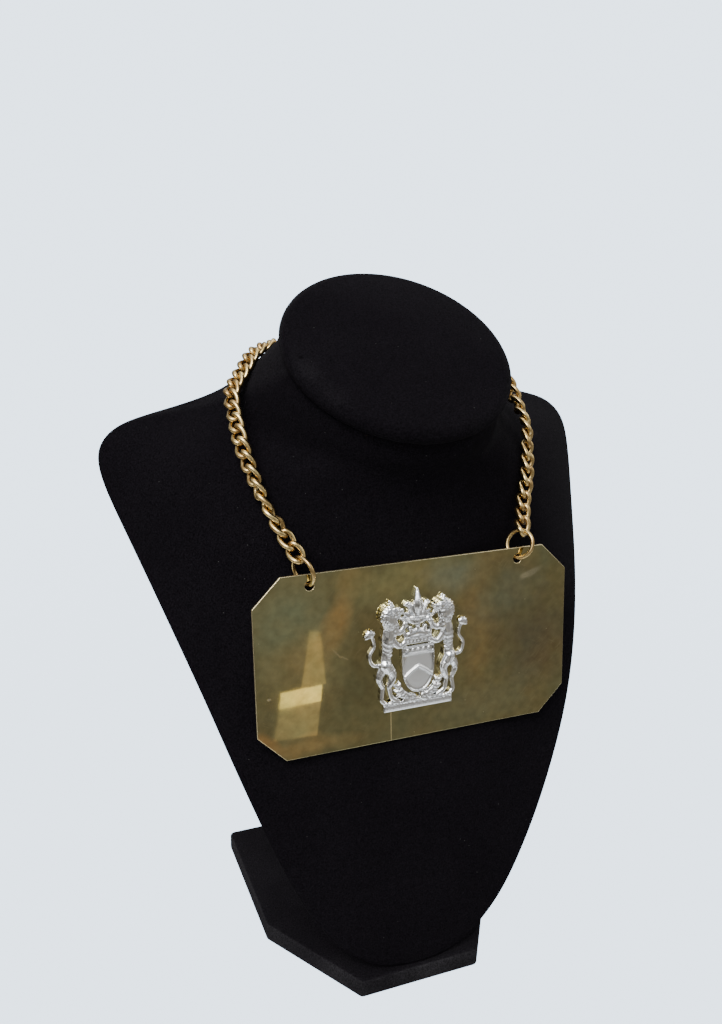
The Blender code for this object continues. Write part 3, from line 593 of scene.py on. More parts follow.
def tarnished_brass():
    """The cloudy brass with its hairlines, specks, pale marks, and edges made bright by wear and by a painted
    highlight.
    """
    brass, tree, shader = new_material("tarnished brass")
    spot = add_node(tree, "TexCoord", output="Object")
    ragged = add_node(tree, "TexNoise", {"Vector": spot, "Scale": 60.0, "Detail": 5.0})
    ragged = spread(tree, ragged, 0.25, 0.75, -0.55, 0.55)
    colour = cloudy_brass(tree, spot, ragged)
    hairlines, specks = hairlines_group(), specks_group()
    lines = 0.0
    for angle, density, fineness in HAIRLINES:
        made = {"Angle": angle, "Density": density, "Fineness": fineness}
        made = place_group(tree, hairlines, made).outputs["Mask"]
        lines = calculate(tree, "MAXIMUM", made, lines)
    dull = 0.0
    for scale, share, size in SPECKS:
        dots = place_group(tree, specks, {"Scale": scale, "Share": share, "Size": size})
        dull = calculate(tree, "MAXIMUM", dots.outputs["Mask"], dull)
    bright = calculate(tree, "MAXIMUM", dull, calculate(tree, "MULTIPLY", lines, 0.35))
    colour = blend_colours(tree, bright, colour, SCRATCH_COLOUR)
    for *shape, mark_colour, strength in MARKS:
        mark = soft_patch(tree, spot, *shape, 0.3, ragged)
        mark = calculate(tree, "MULTIPLY", mark, strength)
        colour = blend_colours(tree, mark, colour, (*mark_colour, 1))
        dull = calculate(tree, "MAXIMUM", dull, mark)
    # Along the edges: bright wear and a painted highlight
    depth = calculate(tree, "ABSOLUTE", add_node(tree, "SeparateXYZ", {"Vector": spot}, output="Z"))
    face = PLATE_THICKNESS / 2
    edge_wear_and_highlight = spread(tree, depth, face - 0.01 * MM, face - 0.06 * MM)
    colour = blend_colours(tree, edge_wear_and_highlight, colour, EDGE_WEAR_AND_HIGHLIGHT_COLOUR)
    dull = calculate(tree, "MAXIMUM", dull, edge_wear_and_highlight)
    feed(tree, shader.inputs["Base Color"], colour)
    shader.inputs["Metallic"].default_value = 1.0
    haze = add_node(tree, "TexNoise", {"Vector": spot, "Scale": 30.0, "Detail": 5.0})
    haze = spread(tree, haze, 0.35, 0.70, CLEAR_ROUGHNESS, HAZY_ROUGHNESS)
    dull = calculate(tree, "MULTIPLY", dull, DULL_ROUGHNESS)
    roughness = calculate(tree, "MAXIMUM", haze, dull)
    feed(tree, shader.inputs["Roughness"], roughness)
    waves = add_node(tree, "TexNoise", {"Vector": spot, "Scale": 28.0, "Detail": 1.0})
    bump = add_node(tree, "Bump", {"Height": waves, "Distance": 0.00002, "Strength": 1.0})
    feed(tree, shader.inputs["Normal"], bump)
    return brass


add_piece(
    "brass_plate",
    flat_plate_mesh(),
    tarnished_brass(),
    "tarnished_brass",
    "plate",
    smooth=False,
    pose=PLATE_POSE,
)

# ---------------------------------------------------------------------------------------------
# Badge: a pierced casting of bright white metal, two lions holding up a crown over a satin
# shield on a plinth with laurel.  Two cast posts pass through the plate and are peened behind.
# ---------------------------------------------------------------------------------------------
BADGE_GAP = 0.02 * MM  # between the plate's face and the casting's flat back
BADGE_PLACE = (BADGE_MIDDLE[0] * MM, BADGE_MIDDLE[1] * MM, PLATE_THICKNESS / 2 + BADGE_GAP)
BADGE_POSE = PLATE_POSE @ Matrix.Translation(BADGE_PLACE)
BADGE_VOXEL = 0.272 * MM  # size of the grid on which the strokes are melted together
BADGE_HEIGHT_SCALE = 0.86  # the strokes are drawn a little higher than they are cast
SILVER_COLOUR = (0.86, 0.85, 0.83, 1)
# Dark of the casting's recesses: dirt and painted shade
GRIME_AND_SHADE_COLOUR = (0.115, 0.11, 0.08, 1)
POLISHED_ROUGHNESS = 0.11
SATIN_ROUGHNESS = 0.40
SATIN_MIDDLE, SATIN_HALF_WIDE, SATIN_HALF_HIGH = -8.5 * MM, 7.0 * MM, 9.5 * MM  # on the shield
POST_RADIUS = 1.2  # millimetres
POST_ROWS = ((1, 1.2), (1, -1.35), (1.3, -1.42), (1.3, -1.85), (0.9, -2.1))  # share of radius, height
# Strokes in millimetres: x, y, height of the stroke's middle, radius at each point.  The lion is
# the right-hand one, and the left-hand one is its mirror image.
LION_BODY = (
    ((15.6, -6.0, 1.4, 3.2), (15.2, 0.0, 1.3, 2.5), (14.2, 7.0, 1.6, 3.5), (12.9, 13.5, 1.7, 3.3)),
    ((13.4, 12.5, 1.7, 3.7), (13.6, 16.8, 1.8, 4.0), (13.2, 19.4, 1.8, 3.4)),
    ((12.6, 18.4, 2.7, 2.7), (11.4, 19.8, 3.0, 2.5)),
    ((11.0, 19.6, 3.1, 1.9), (8.7, 19.3, 2.9, 1.55)),
    ((11.0, 18.0, 2.3, 1.3), (9.0, 17.2, 2.1, 0.9)),
    ((12.4, 21.8, 2.8, 1.0), (12.9, 23.6, 2.4, 0.7)),
    ((12.6, 11.5, 2.3, 2.3), (9.2, 9.4, 2.5, 1.5), (6.9, 11.4, 2.2, 1.2), (6.2, 12.8, 2.1, 1.5)),
    ((13.0, 6.5, 2.2, 2.2), (9.8, 3.0, 2.4, 1.5), (7.6, 3.4, 2.2, 1.2), (6.6, 3.9, 2.1, 1.4)),
    ((15.8, -5.2, 1.9, 3.2), (12.6, -10.3, 2.1, 2.2), (14.2, -15.8, 1.8, 1.2)),
    ((14.2, -15.8, 1.8, 1.1), (13.2, -20.6, 1.7, 1.1), (11.2, -22.6, 1.6, 1.4)),
    ((16.4, -6.0, 1.2, 2.8), (18.8, -11.3, 1.2, 1.8), (17.1, -16.2, 1.1, 1.1)),
    ((17.1, -16.2, 1.1, 1.1), (17.7, -21.6, 1.2, 1.1), (16.6, -23.2, 1.2, 1.2)),
    (
        (17.4, -5.0, 1.2, 1.1), (21.6, -4.6, 1.2, 0.9), (23.0, 0.0, 1.2, 0.85),
        (20.8, 4.0, 1.2, 0.8), (21.6, 8.2, 1.2, 0.9), (23.2, 10.2, 1.3, 1.3),
    ),
)
LION_RELIEF = (
    ((15.8, -5.2, 2.9, 2.6), (14.6, -7.6, 2.9, 2.2)),
    ((13.2, 10.8, 3.0, 2.2), (11.9, 9.6, 3.1, 1.9)),
    ((13.0, -0.6, 2.6, 0.5), (14.8, -1.2, 3.5, 0.6), (17.0, -0.2, 2.4, 0.5)),
    ((12.8, 1.4, 2.7, 0.5), (14.6, 0.6, 3.7, 0.6), (17.0, 1.8, 2.6, 0.5)),
    ((12.4, 3.4, 3.0, 0.5), (14.6, 2.6, 4.1, 0.6), (17.2, 3.8, 2.8, 0.5)),
    ((12.2, 5.6, 3.4, 0.5), (14.4, 4.8, 4.5, 0.6), (17.2, 6.0, 3.0, 0.5)),
    ((11.9, 21.2, 4.5, 0.7), (9.9, 21.0, 4.1, 0.5)),
    ((10.5, 20.1, 4.9, 0.5), (10.2, 20.1, 4.8, 0.45)),
    ((8.0, 20.3, 4.0, 0.6), (7.5, 19.7, 3.7, 0.55)),
    ((9.6, 18.4, 4.0, 0.45), (8.0, 18.3, 3.7, 0.4)),
    ((11.9, 18.3, 4.7, 1.1), (11.0, 18.0, 4.4, 0.9)),
    ((12.4, -8.0, 4.1, 0.6), (12.0, -11.0, 4.2, 0.5), (13.6, -14.6, 3.1, 0.45)),
    ((17.6, -8.0, 3.3, 0.5), (18.9, -11.5, 3.0, 0.5), (17.4, -15.4, 2.3, 0.4)),
)
LION_PAWS = (  # x, y, height, heading of the toes in degrees
    (6.2, 13.4, 2.4, 100), (6.2, 4.2, 2.4, 165), (10.6, -22.9, 1.9, 190), (16.0, -23.6, 1.5, 200),
)
MANE = ((2.0, 5.4, 7, 2.6), (3.1, 4.9, 9, 2.8), (3.9, 3.8, 9, 2.8))  # reach, height, locks, length
CHEST_TUFTS = (
    (11.2, 15.4, 4.6), (10.4, 13.6, 4.2), (11.9, 12.4, 4.8), (10.6, 11.6, 4.0), (12.9, 14.6, 5.2),
)
CROWN = (
    ((-6.0, 4.6, 1.6, 1.5), (6.0, 4.6, 1.6, 1.5)),
    ((-3.6, 7.2, 1.0, 2.0), (0.0, 8.2, 1.2, 2.4), (3.6, 7.2, 1.0, 2.0)),
    ((0.0, 5.0, 2.0, 1.2), (0.0, 10.6, 2.2, 0.9), (0.0, 12.0, 2.2, 1.3)),
)
CROWN_SIDE = (
    ((2.6, 5.6, 1.9, 1.1), (3.4, 9.0, 2.1, 0.8), (3.7, 10.6, 2.1, 1.05)),
    ((5.4, 5.2, 1.7, 1.1), (6.5, 9.0, 1.8, 0.7), (6.9, 10.0, 1.8, 0.95)),
    ((0.8, 15.0, 1.7, 1.3), (3.2, 18.8, 1.8, 1.4), (4.4, 22.0, 1.7, 1.1), (5.8, 21.4, 1.6, 0.7)),
    ((1.8, 12.6, 1.0, 1.0), (5.2, 14.6, 1.2, 1.6), (8.8, 15.6, 1.1, 0.6)),
    ((1.4, 13.4, 1.0, 1.0), (4.2, 16.4, 1.1, 1.2), (6.6, 17.6, 1.0, 0.5)),
)
LILY = (
    ((0.0, 11.8, 1.8, 1.4), (0.0, 16.5, 1.8, 1.3)),
    ((0.0, 16.0, 1.9, 1.5), (0.0, 22.0, 2.2, 2.4), (0.0, 28.4, 1.6, 0.6)),
)
RELIEF = (  # raised lines and mouldings on the middle pieces, right-hand halves
    ((0.0, 3.5, 2.9, 0.4), (6.6, 3.5, 2.7, 0.4)),
    ((0.0, 5.8, 2.9, 0.4), (6.6, 5.8, 2.7, 0.4)),
    ((0.0, 15.2, 3.4, 0.75), (3.0, 15.2, 2.6, 0.7)),
    ((0.0, 17.4, 3.9, 0.35), (0.0, 22.0, 4.8, 0.4), (0.0, 27.0, 2.9, 0.3)),
    ((1.2, 15.8, 3.0, 0.3), (3.1, 19.0, 3.4, 0.35), (4.3, 21.6, 3.0, 0.3)),
    ((2.2, 13.0, 2.0, 0.25), (5.2, 14.8, 2.9, 0.3), (8.0, 15.5, 2.0, 0.25)),
    ((0.0, -7.6, 3.1, 0.75), (3.2, -9.6, 3.0, 0.75), (6.6, -12.4, 2.7, 0.7)),
    ((0.0, -1.6, 2.9, 0.38), (7.6, -1.6, 2.7, 0.38)),
)
SHIELD_ROWS = (  # share of the outline's size, height
    (1.0, 0.0), (1.0, 2.3), (0.985, 2.75), (0.95, 2.95), (0.915, 2.75), (0.89, 2.25), (0.6, 2.5), (0.3, 2.62),
)
SHIELD_HALF_WIDTH, SHIELD_TOP, SHIELD_SHOULDER, SHIELD_TIP = 8.0, 2.4, -7.0, -20.5
PLINTH_ROWS = ((17.0, 0.0), (17.0, 1.9), (16.7, 2.3), (16.2, 2.45))  # half width, height
PLINTH_MIDDLE, PLINTH_HALF_HIGH = -26.3, 1.7


def spline_point(points, t):
    """Catmull-Rom curve through points at t, counted in points from the first one."""
    last = len(points) - 1
    i = min(int(t), last - 1)
    f = t - i
    a, b, c, d = (points[min(max(k, 0), last)] for k in (i - 1, i, i + 1, i + 2))
    return [
        0.5 * (2 * q + (r - p) * f + (2 * p - 5 * q + 4 * r - s) * f**2 + (3 * q - p - 3 * r + s) * f**3)
        for p, q, r, s in zip(a, b, c, d)
    ]


def wire_rings(path, radius, sides, closed=True):
    """Rows of points round a path, for a round wire of one radius or of one radius a point.

    A closed wire meets itself without a twist."""
    count = len(path)
    radii = radius if isinstance(radius, list) else [radius] * count
    frames = []
    side = None
    for i, point in enumerate(path):
        ahead = path[(i + 1) % count] if closed or i < count - 1 else point
        behind = path[i - 1] if closed or i else point
        along = (ahead - behind).normalized()
        side = along.orthogonal() if side is None else side
        side = (side - along * side.dot(along)).normalized()
        frames.append((along, side))
    excess = 0.0
    if closed:
        along, first = frames[0]
        last = (side - along * side.dot(along)).normalized()
        excess = math.atan2(along.dot(first.cross(last)), first.dot(last))
    rows = []
    for i, (point, (along, side)) in enumerate(zip(path, frames)):
        up = along.cross(side)
        turn = [2 * math.pi * k / sides - excess * i / count for k in range(sides)]
        rows.append([point + (side * math.cos(a) + up * math.sin(a)) * radii[i] for a in turn])
    return rows


def add_ball(bm, place, radius):
    bmesh.ops.create_icosphere(bm, subdivisions=2, radius=radius, matrix=Matrix.Translation(place))


def add_stroke(bm, stroke, wall=False):
    """A tapering round stroke with ball ends; a wall stands straight down from it to the plate."""
    steps = (len(stroke) - 1) * 5
    fine = [spline_point(stroke, k / 5) for k in range(steps + 1)]
    for height_share in (1, 0) if wall else (1,):
        path = [Vector((x, y, z * height_share)) for x, y, z, _ in fine]
        radii = [max(point[3], 0.1) for point in fine]
        rings = loft(bm, wire_rings(path, radii, 12, closed=False))
        bm.faces.new(rings[0][::-1])
        bm.faces.new(rings[-1])
        for place, radius in ((path[0], radii[0]), (path[-1], radii[-1])):
            add_ball(bm, place, radius)


def lock(start, angle, length, drop, radius):
    """A short tapering lock of hair or leaf that leaves its start at an angle in degrees."""
    x, y, z = start
    a, b = math.radians(angle), math.radians(angle - 30)
    middle = (x + length * 0.5 * math.cos(a), y + length * 0.5 * math.sin(a))
    end = (middle[0] + length * 0.5 * math.cos(b), middle[1] + length * 0.5 * math.sin(b))
    return (
        (x, y, z, radius * 0.7), (*middle, z - drop * 0.4, radius), (*end, z - drop, radius * 0.25)
    )


def lion_details():
    """Mane, chest tufts, tail tuft and toes of the right-hand lion."""
    strokes = []
    for reach, height, count, length in MANE:
        for k in range(count):
            angle = 96 - 176 * k / (count - 1)
            a = math.radians(angle)
            start = (13.0 + reach * math.cos(a), 17.0 + reach * 1.1 * math.sin(a), height)
            strokes.append(lock(start, angle - 62, length, 1.5, 0.6))
    for start in CHEST_TUFTS:
        strokes.append(lock(start, 268, 2.6, 1.2, 0.8))
    for k in range(6):
        strokes.append(lock((22.6, 9.2, 1.7), 145 - 32 * k, 3.0, 0.5, 1.0))
    for x, y, z, heading in LION_PAWS:
        for k in (-1, 0, 1):
            strokes.append(lock((x, y, z), heading + 34 * k + 15, 1.7, 0.4, 0.65))
    return strokes


def laurel():
    """Leaves along the right-hand spray under the shield."""
    stem = ((0.6, -23.6, 1.6, 0.4), (4.6, -23.0, 1.8, 0.4), (8.4, -20.4, 1.6, 0.35), (10.4, -16.4, 1.3, 0.3))
    strokes = [stem]
    for k in range(5):
        x, y, z, _ = spline_point(stem, 0.3 + k * 0.62)
        heading = 8 + 15 * k
        strokes.append(lock((x, y, z + 0.6), heading + 60, 3.7 - 0.15 * k, 0.3, 1.0))
        strokes.append(lock((x, y, z + 0.6), heading - 14, 3.7 - 0.15 * k, 0.3, 1.0))
    return strokes


def shield_outline():
    """Half of the shield's outline from its top middle to its tip, then the other half."""
    right = [(0.0, SHIELD_TOP), (SHIELD_HALF_WIDTH * 0.5, SHIELD_TOP), (SHIELD_HALF_WIDTH, SHIELD_TOP)]
    for k in range(25):
        t = k / 24
        half = SHIELD_HALF_WIDTH * math.sqrt(max(1 - t**2.2, 0))
        right.append((half, SHIELD_SHOULDER + (SHIELD_TIP - SHIELD_SHOULDER) * t))
    return right + [(-x, y) for x, y in reversed(right[1:-1])]


def mirrored(stroke):
    return tuple((-x, y, z, radius) for x, y, z, radius in stroke)


def badge_mesh():
    """All strokes and flat pieces of the casting, overlapping, cut flat behind by the next step."""
    bm = bmesh.new()
    for stroke in CROWN + LILY:
        add_stroke(bm, stroke, wall=True)
    for stroke in LION_BODY + CROWN_SIDE:
        add_stroke(bm, stroke, wall=True)
        add_stroke(bm, mirrored(stroke), wall=True)
    sprays = laurel()
    for stroke in sprays:
        add_stroke(bm, stroke, wall=True)
        add_stroke(bm, mirrored(stroke), wall=True)
    for stroke in (*LION_RELIEF, *RELIEF, *lion_details()):
        add_stroke(bm, stroke)
        add_stroke(bm, mirrored(stroke))
    outline = shield_outline()
    middle_y = (SHIELD_TOP + SHIELD_TIP) / 2
    rows = []
    for share, height in SHIELD_ROWS:
        rows.append([Vector((x * share, middle_y + (y - middle_y) * share, height)) for x, y in outline])
    rings = loft(bm, rows)
    bm.faces.new(rings[0][::-1])
    bm.faces.new(rings[-1])
    rows = []
    for half, height in PLINTH_ROWS:
        inset = PLINTH_ROWS[0][0] - half
        half_high = PLINTH_HALF_HIGH - inset
        corners = ((-half, -half_high), (half, -half_high), (half, half_high), (-half, half_high))
        rows.append([Vector((x, PLINTH_MIDDLE + y, height)) for x, y in corners])
    rings = loft(bm, rows)
    bm.faces.new(rings[0][::-1])
    bm.faces.new(rings[-1])
    for k in range(-3, 4):
        add_ball(bm, (k * 1.75, 4.65, 3.0), 0.55)
    for k in range(-2, 3):
        add_ball(bm, (k * 2.6, 0.4, 2.6), 0.75)
    scatter = random.Random(4)
    for k in range(64):
        x = -16.2 + 32.4 * (k + scatter.random()) / 64
        radius = 0.45 + 0.5 * scatter.random()
        add_ball(bm, (x, -24.3 + 0.8 * scatter.random(), 1.5 + scatter.random()), radius)
    for k in range(33):
        add_ball(bm, (-16.0 + k, -26.3, 2.35), 0.42)
    bmesh.ops.recalc_face_normals(bm, faces=bm.faces)
    bmesh.ops.scale(bm, verts=bm.verts, vec=(MM, MM, MM * BADGE_HEIGHT_SCALE))
    return finish_mesh(bm, "badge strokes")


def cast_badge_mesh():
    """The strokes melted into one skin, flat behind, with its two posts."""
    drawn = bpy.data.objects.new("badge strokes", badge_mesh())
    bpy.context.scene.collection.objects.link(drawn)
    melt = drawn.modifiers.new("melted together", "REMESH")
    melt.mode = "VOXEL"
    melt.voxel_size = BADGE_VOXEL
    melt.adaptivity = 0
    soften = drawn.modifiers.new("cast surface", "SMOOTH")
    soften.factor = 0.5
    soften.iterations = 2
    graph = bpy.context.evaluated_depsgraph_get()
    mesh = bpy.data.meshes.new_from_object(drawn.evaluated_get(graph))
    bpy.data.objects.remove(drawn)
    bm = bmesh.new()
    bm.from_mesh(mesh)
    for vert in bm.verts:
        vert.co.z = max(vert.co.z, 0)
    back_edges = [e for e in bm.edges if all(v.co.z <= 0 for f in e.link_faces for v in f.verts)]
    back_verts = [v for v in bm.verts if all(w.co.z <= 0 for f in v.link_faces for w in f.verts)]
    bmesh.ops.dissolve_limit(bm, angle_limit=0.01, verts=back_verts, edges=back_edges)
    for x, y in POST_SPOTS:
        rows = []
        for share, height in POST_ROWS:
            radius = POST_RADIUS * share
            turn = (2 * math.pi * k / 24 for k in range(24))
            around = [(x + radius * math.cos(a), y + radius * math.sin(a), height) for a in turn]
            rows.append([Vector(point) * MM for point in around])
        rings = loft(bm, [row[::-1] for row in rows])
        bm.faces.new(rings[-1])
        bm.faces.new(rings[0][::-1])
    bm.to_mesh(mesh)
    bm.free()
    mesh.materials.clear()
    return mesh


def recesses_group():
    """Where a surface is hollow, broken up by fine noise; gives the noise too."""
    group, given, result = new_group(
        "recesses", {"Reach": 0.06, "Scale": 500.0}, {"Recess": 0.0, "Noise": 0.5}
    )
    place = add_node(group, "TexCoord", output="Object")
    noise = {"Vector": place, "Scale": given.outputs["Scale"], "Detail": 4.0}
    noise = add_node(group, "TexNoise", noise)
    bend = calculate(group, "SUBTRACT", add_node(group, "NewGeometry", output="Pointiness"), 0.5)
    bend = calculate(group, "DIVIDE", bend, given.outputs["Reach"])
    broken = spread(group, noise, 0.3, 0.7, 0.45, 1.0)
    recess = calculate(group, "MULTIPLY", spread(group, bend, -0.2, -1.0), broken)
    feed(group, result.inputs["Recess"], recess)
    feed(group, result.inputs["Noise"], noise)
    return group


recesses = recesses_group()


def silver_casting():
    """Bright white metal, darkened in its recesses by dirt and by painted shade, and satin on the shield."""
    silver, tree, shader = new_material("silver casting")
    hollows = place_group(tree, recesses, {"Reach": 0.05, "Scale": 500.0})
    # Recesses darkened: dirt, and painted shade where light doesn't reach
    grime_and_shade = hollows.outputs["Recess"]
    feed(tree, shader.inputs["Base Color"], blend_colours(tree, grime_and_shade, SILVER_COLOUR, GRIME_AND_SHADE_COLOUR))
    shader.inputs["Metallic"].default_value = 1.0
    spot = add_node(tree, "TexCoord", output="Object")
    spot = add_node(tree, "VectorMath", {0: spot, 1: (0, -SATIN_MIDDLE, 0)}, operation="ADD")
    scale = (1 / SATIN_HALF_WIDE, 1 / SATIN_HALF_HIGH, 0)
    spot = add_node(tree, "VectorMath", {0: spot, 1: scale}, operation="MULTIPLY")
    reach = add_node(tree, "VectorMath", {0: spot}, output="Value", operation="LENGTH")
    satin = spread(tree, reach, 1.15, 0.9, POLISHED_ROUGHNESS, SATIN_ROUGHNESS)
    roughness = calculate(tree, "MAXIMUM", satin, calculate(tree, "MULTIPLY", grime_and_shade, 0.5))
    feed(tree, shader.inputs["Roughness"], roughness)
    bump = {"Height": hollows.outputs["Noise"], "Distance": 0.00002, "Strength": 0.6}
    feed(tree, shader.inputs["Normal"], add_node(tree, "Bump", bump))
    return silver


add_piece(
    "silver_badge", cast_badge_mesh(), silver_casting(), "silver_casting", "badge", pose=BADGE_POSE
)

# ---------------------------------------------------------------------------------------------
# Jump rings: round brass wire bent to a ring, each through its hole in the plate and through
# the end link of the chain.  The cut where the wire's ends meet shows as a hairline.
# ---------------------------------------------------------------------------------------------
RING_RADIUS = 6.4 * MM  # of the wire's centre line
RING_WIRE = 0.92 * MM
RING_STEPS = 96
RING_SIDES = 20
RING_CUT = 0.4  # degrees from the middle of the cut to each end of the wire
RING_CUT_SPOT = 232  # where round the ring the cut is, in degrees from its own X
RING_TURN = {"left": 66.0, "right": 60.0}  # degrees, right-hand side forward
RING_HOLD = (50.6 * MM, 36.9 * MM)  # the wire's middle inside its hole, in the plate's own plane
LINK_HOLD = 2.25 * MM  # from the middle of the end link to the ring wire's middle
CHAIN_COLOUR = (0.67, 0.495, 0.215, 1)
CHAIN_TARNISH_COLOUR = (0.36, 0.225, 0.085, 1)
# Dark of the links' recesses: dirt and painted shade
CHAIN_GRIME_AND_SHADE_COLOUR = (0.09, 0.045, 0.016, 1)
# Middle of the right-hand end link, and the way in which the chain sets out from it
CHAIN_START = (Vector((55.1, -29.6, 220.9)) * MM, Vector((0.325, 0.671, 0.666)))


def worn_brass():
    """Brass wire worn bright outside, spotted with tarnish, and darkened in its recesses by dirt and by
    painted shade.
    """
    brass, tree, shader = new_material("chain brass")
    hollows = place_group(tree, recesses, {"Reach": 0.05, "Scale": 900.0})
    spot = add_node(tree, "TexCoord", output="Object")
    tarnish = add_node(tree, "TexNoise", {"Vector": spot, "Scale": 160.0, "Detail": 4.0})
    colour = blend_colours(tree, spread(tree, tarnish, 0.38, 0.66), CHAIN_COLOUR, CHAIN_TARNISH_COLOUR)
    # Recesses darkened: dirt, and painted shade between and inside the links
    colour = blend_colours(tree, hollows.outputs["Recess"], colour, CHAIN_GRIME_AND_SHADE_COLOUR)
    feed(tree, shader.inputs["Base Color"], colour)
    shader.inputs["Metallic"].default_value = 1.0
    feed(tree, shader.inputs["Roughness"], spread(tree, tarnish, 0.35, 0.7, 0.20, 0.36))
    bump = {"Height": hollows.outputs["Noise"], "Distance": 0.00002, "Strength": 0.6}
    feed(tree, shader.inputs["Normal"], add_node(tree, "Bump", bump))
    return brass


def ring_pose(turn_side):
    """World matrix of a jump ring, whose own Z is its axis and own Y points to the chain."""
    mirror = Vector((-1 if turn_side == "left" else 1, 1, 1))
    low = PLATE_POSE @ Vector((mirror.x * RING_HOLD[0], RING_HOLD[1], 0))
    high = mirror * CHAIN_START[0] - mirror * CHAIN_START[1] * LINK_HOLD
    up = (high - low).normalized()
    turn = math.radians(RING_TURN[turn_side])
    across = Vector((math.cos(turn), -math.sin(turn), 0))
    across = (across - up * across.dot(up)).normalized()
    centre = low + up * RING_RADIUS
    return Matrix.Translation(centre) @ Matrix((across, up, across.cross(up))).transposed().to_4x4()


def ring_mesh(turn_side):
    """A ring of wire in its place, with flat ends at its cut."""
    gap = math.radians(RING_CUT)
    start = math.radians(RING_CUT_SPOT) + gap
    angles = [start + (2 * math.pi - 2 * gap) * k / RING_STEPS for k in range(RING_STEPS + 1)]
    path = [Vector((math.cos(a), math.sin(a), 0)) * RING_RADIUS for a in angles]
    bm = bmesh.new()
    rows = loft(bm, wire_rings(path, RING_WIRE, RING_SIDES, closed=False))
    bm.faces.new(rows[0])
    bm.faces.new(rows[-1])
    bmesh.ops.recalc_face_normals(bm, faces=bm.faces)
    bm.transform(ring_pose(turn_side))
    mesh = finish_mesh(bm, "jump_ring_" + turn_side)
    mesh.shade_smooth()
    for face in mesh.polygons[-2:]:
        face.use_smooth = False
    return mesh


chain_brass = worn_brass()
for turn_side in RING_TURN:
    mesh = ring_mesh(turn_side)
    add_piece("jump_ring_" + turn_side, mesh, chain_brass, "chain_brass", "ring_" + turn_side)

# ---------------------------------------------------------------------------------------------
# Curb chain: separate links of round brass wire, each bent to an oval and twisted so that the
# chain lies flat, pulled taut from ring to ring round the back of the neck.
# ---------------------------------------------------------------------------------------------
LINK_HALF_LENGTH = 4.45 * MM  # of the wire's centre line
LINK_HALF_WIDTH = 2.85 * MM
LINK_TWIST = 1.0  # radians, from the middle of a link to its end
LINK_WIRE = 1.18 * MM
LINK_STEPS = 40
LINK_SIDES = 14
LINK_PITCH = 6.4 * MM
CHAIN_PARTS = 8
CHAIN_CLEARANCE = 1.2 * MM  # from a link's wire centre to the velvet
# Right-hand half of the chain from its ring to the middle of the back of the neck: x, y, z in
# millimetres, then the link's turn about the chain in degrees, left-hand and right-hand run
ROUTE = (
    (55.1, -29.6, 220.9, 10, 208),
    (60.6, -18.6, 232.4, 80, 197),
    (66.0, -9.4, 246.5, 135, 184),
    (70.0, -1.8, 259.2, 152, 153),
    (70.0, 10.2, 269.2, 172, 145),
    (69.3, 19.5, 277.0, 200, 130),
    (66.0, 27.5, 281.5, 212, 130),
    (55.0, 40.2, 288.6, 220, 145),
    (42.0, 50.0, 293.0, 218, 158),
    (22.0, 55.5, 295.5, 200, 172),
    (0.0, 57.0, 296.5, 180, 180),
)


def link_offset(a, twist=LINK_TWIST):
    """Along, sideways and outward place of a twisted link's wire at the angle a."""
    along = LINK_HALF_LENGTH * math.copysign(abs(math.cos(a)) ** 0.87, math.cos(a))
    side = LINK_HALF_WIDTH * math.copysign(abs(math.sin(a)) ** 0.87, math.sin(a))
    turn = twist * math.cos(a)
    return along, side * math.cos(turn), side * math.sin(turn)


def link_reach(roll):
    """How far a link of this roll reaches from its middle towards the bust, with a gap added."""
    offsets = [link_offset(2 * math.pi * k / 24) for k in range(24)]
    reach = max(out * math.cos(roll) + side * math.sin(roll) for _, side, out in offsets)
    return reach + CHAIN_CLEARANCE


def chain_stations():
    """Even stations along the whole chain: (point, direction away from the bust, roll)."""
    right = [list(row) for row in ROUTE]
    left = [[-row[0], *row[1:]] for row in ROUTE]
    whole = left + right[-2::-1]
    runs = [row[:3] + [row[3] if row[0] < 0 else row[4]] for row in whole]
    fine = [spline_point(runs, k / 8) for k in range((len(runs) - 1) * 8 + 1)]
    points = [Vector(p[:3]) * MM for p in fine]
    rolls = [math.radians(p[3]) for p in fine]
    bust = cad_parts["bust_form"].data
    faces = [list(face.vertices) for face in bust.polygons]
    surface = BVHTree.FromPolygons([vert.co for vert in bust.vertices], faces)
    for _ in range(6):
        for i in range(len(points)):
            near, normal, _, _ = surface.find_nearest(points[i])
            lift = link_reach(rolls[i]) - (points[i] - near).dot(normal)
            if lift > 0:
                points[i] = points[i] + normal * lift
        inner = [(a + 2 * b + c) / 4 for a, b, c in zip(points, points[1:], points[2:])]
        points = [points[0], *inner, points[-1]]
    normals = [surface.find_nearest(p)[1] for p in points]
    for _ in range(4):
        inner = [(a + b + c).normalized() for a, b, c in zip(normals, normals[1:], normals[2:])]
        normals = [normals[0], *inner, normals[-1]]
    return points, normals, rolls


def link_frames(stations):
    """Middle, direction, sideways and outward vectors and twist of each link of the taut chain."""
    points, normals, rolls = stations
    along = [0.0]
    for a, b in zip(points, points[1:]):
        along.append(along[-1] + (b - a).length)
    count = round(along[-1] / LINK_PITCH) + 1
    frames = []
    for link in range(count):
        travelled = along[-1] * link / (count - 1)
        i = max(k for k in range(len(along) - 1) if along[k] <= travelled + 1e-9)
        f = (travelled - along[i]) / (along[i + 1] - along[i])
        middle = points[i].lerp(points[i + 1], f)
        forward = (points[min(i + 2, len(points) - 1)] - points[max(i - 1, 0)]).normalized()
        out = normals[i].lerp(normals[i + 1], f)
        out = (out - forward * out.dot(forward)).normalized()
        roll_step = rolls[i + 1] - rolls[i]
        out = Matrix.Rotation(rolls[i] + roll_step * f, 3, forward) @ out
        twist = LINK_TWIST - roll_step / (along[i + 1] - along[i]) * LINK_PITCH / 2
        frames.append((middle, forward, forward.cross(out), out, twist))
    return frames


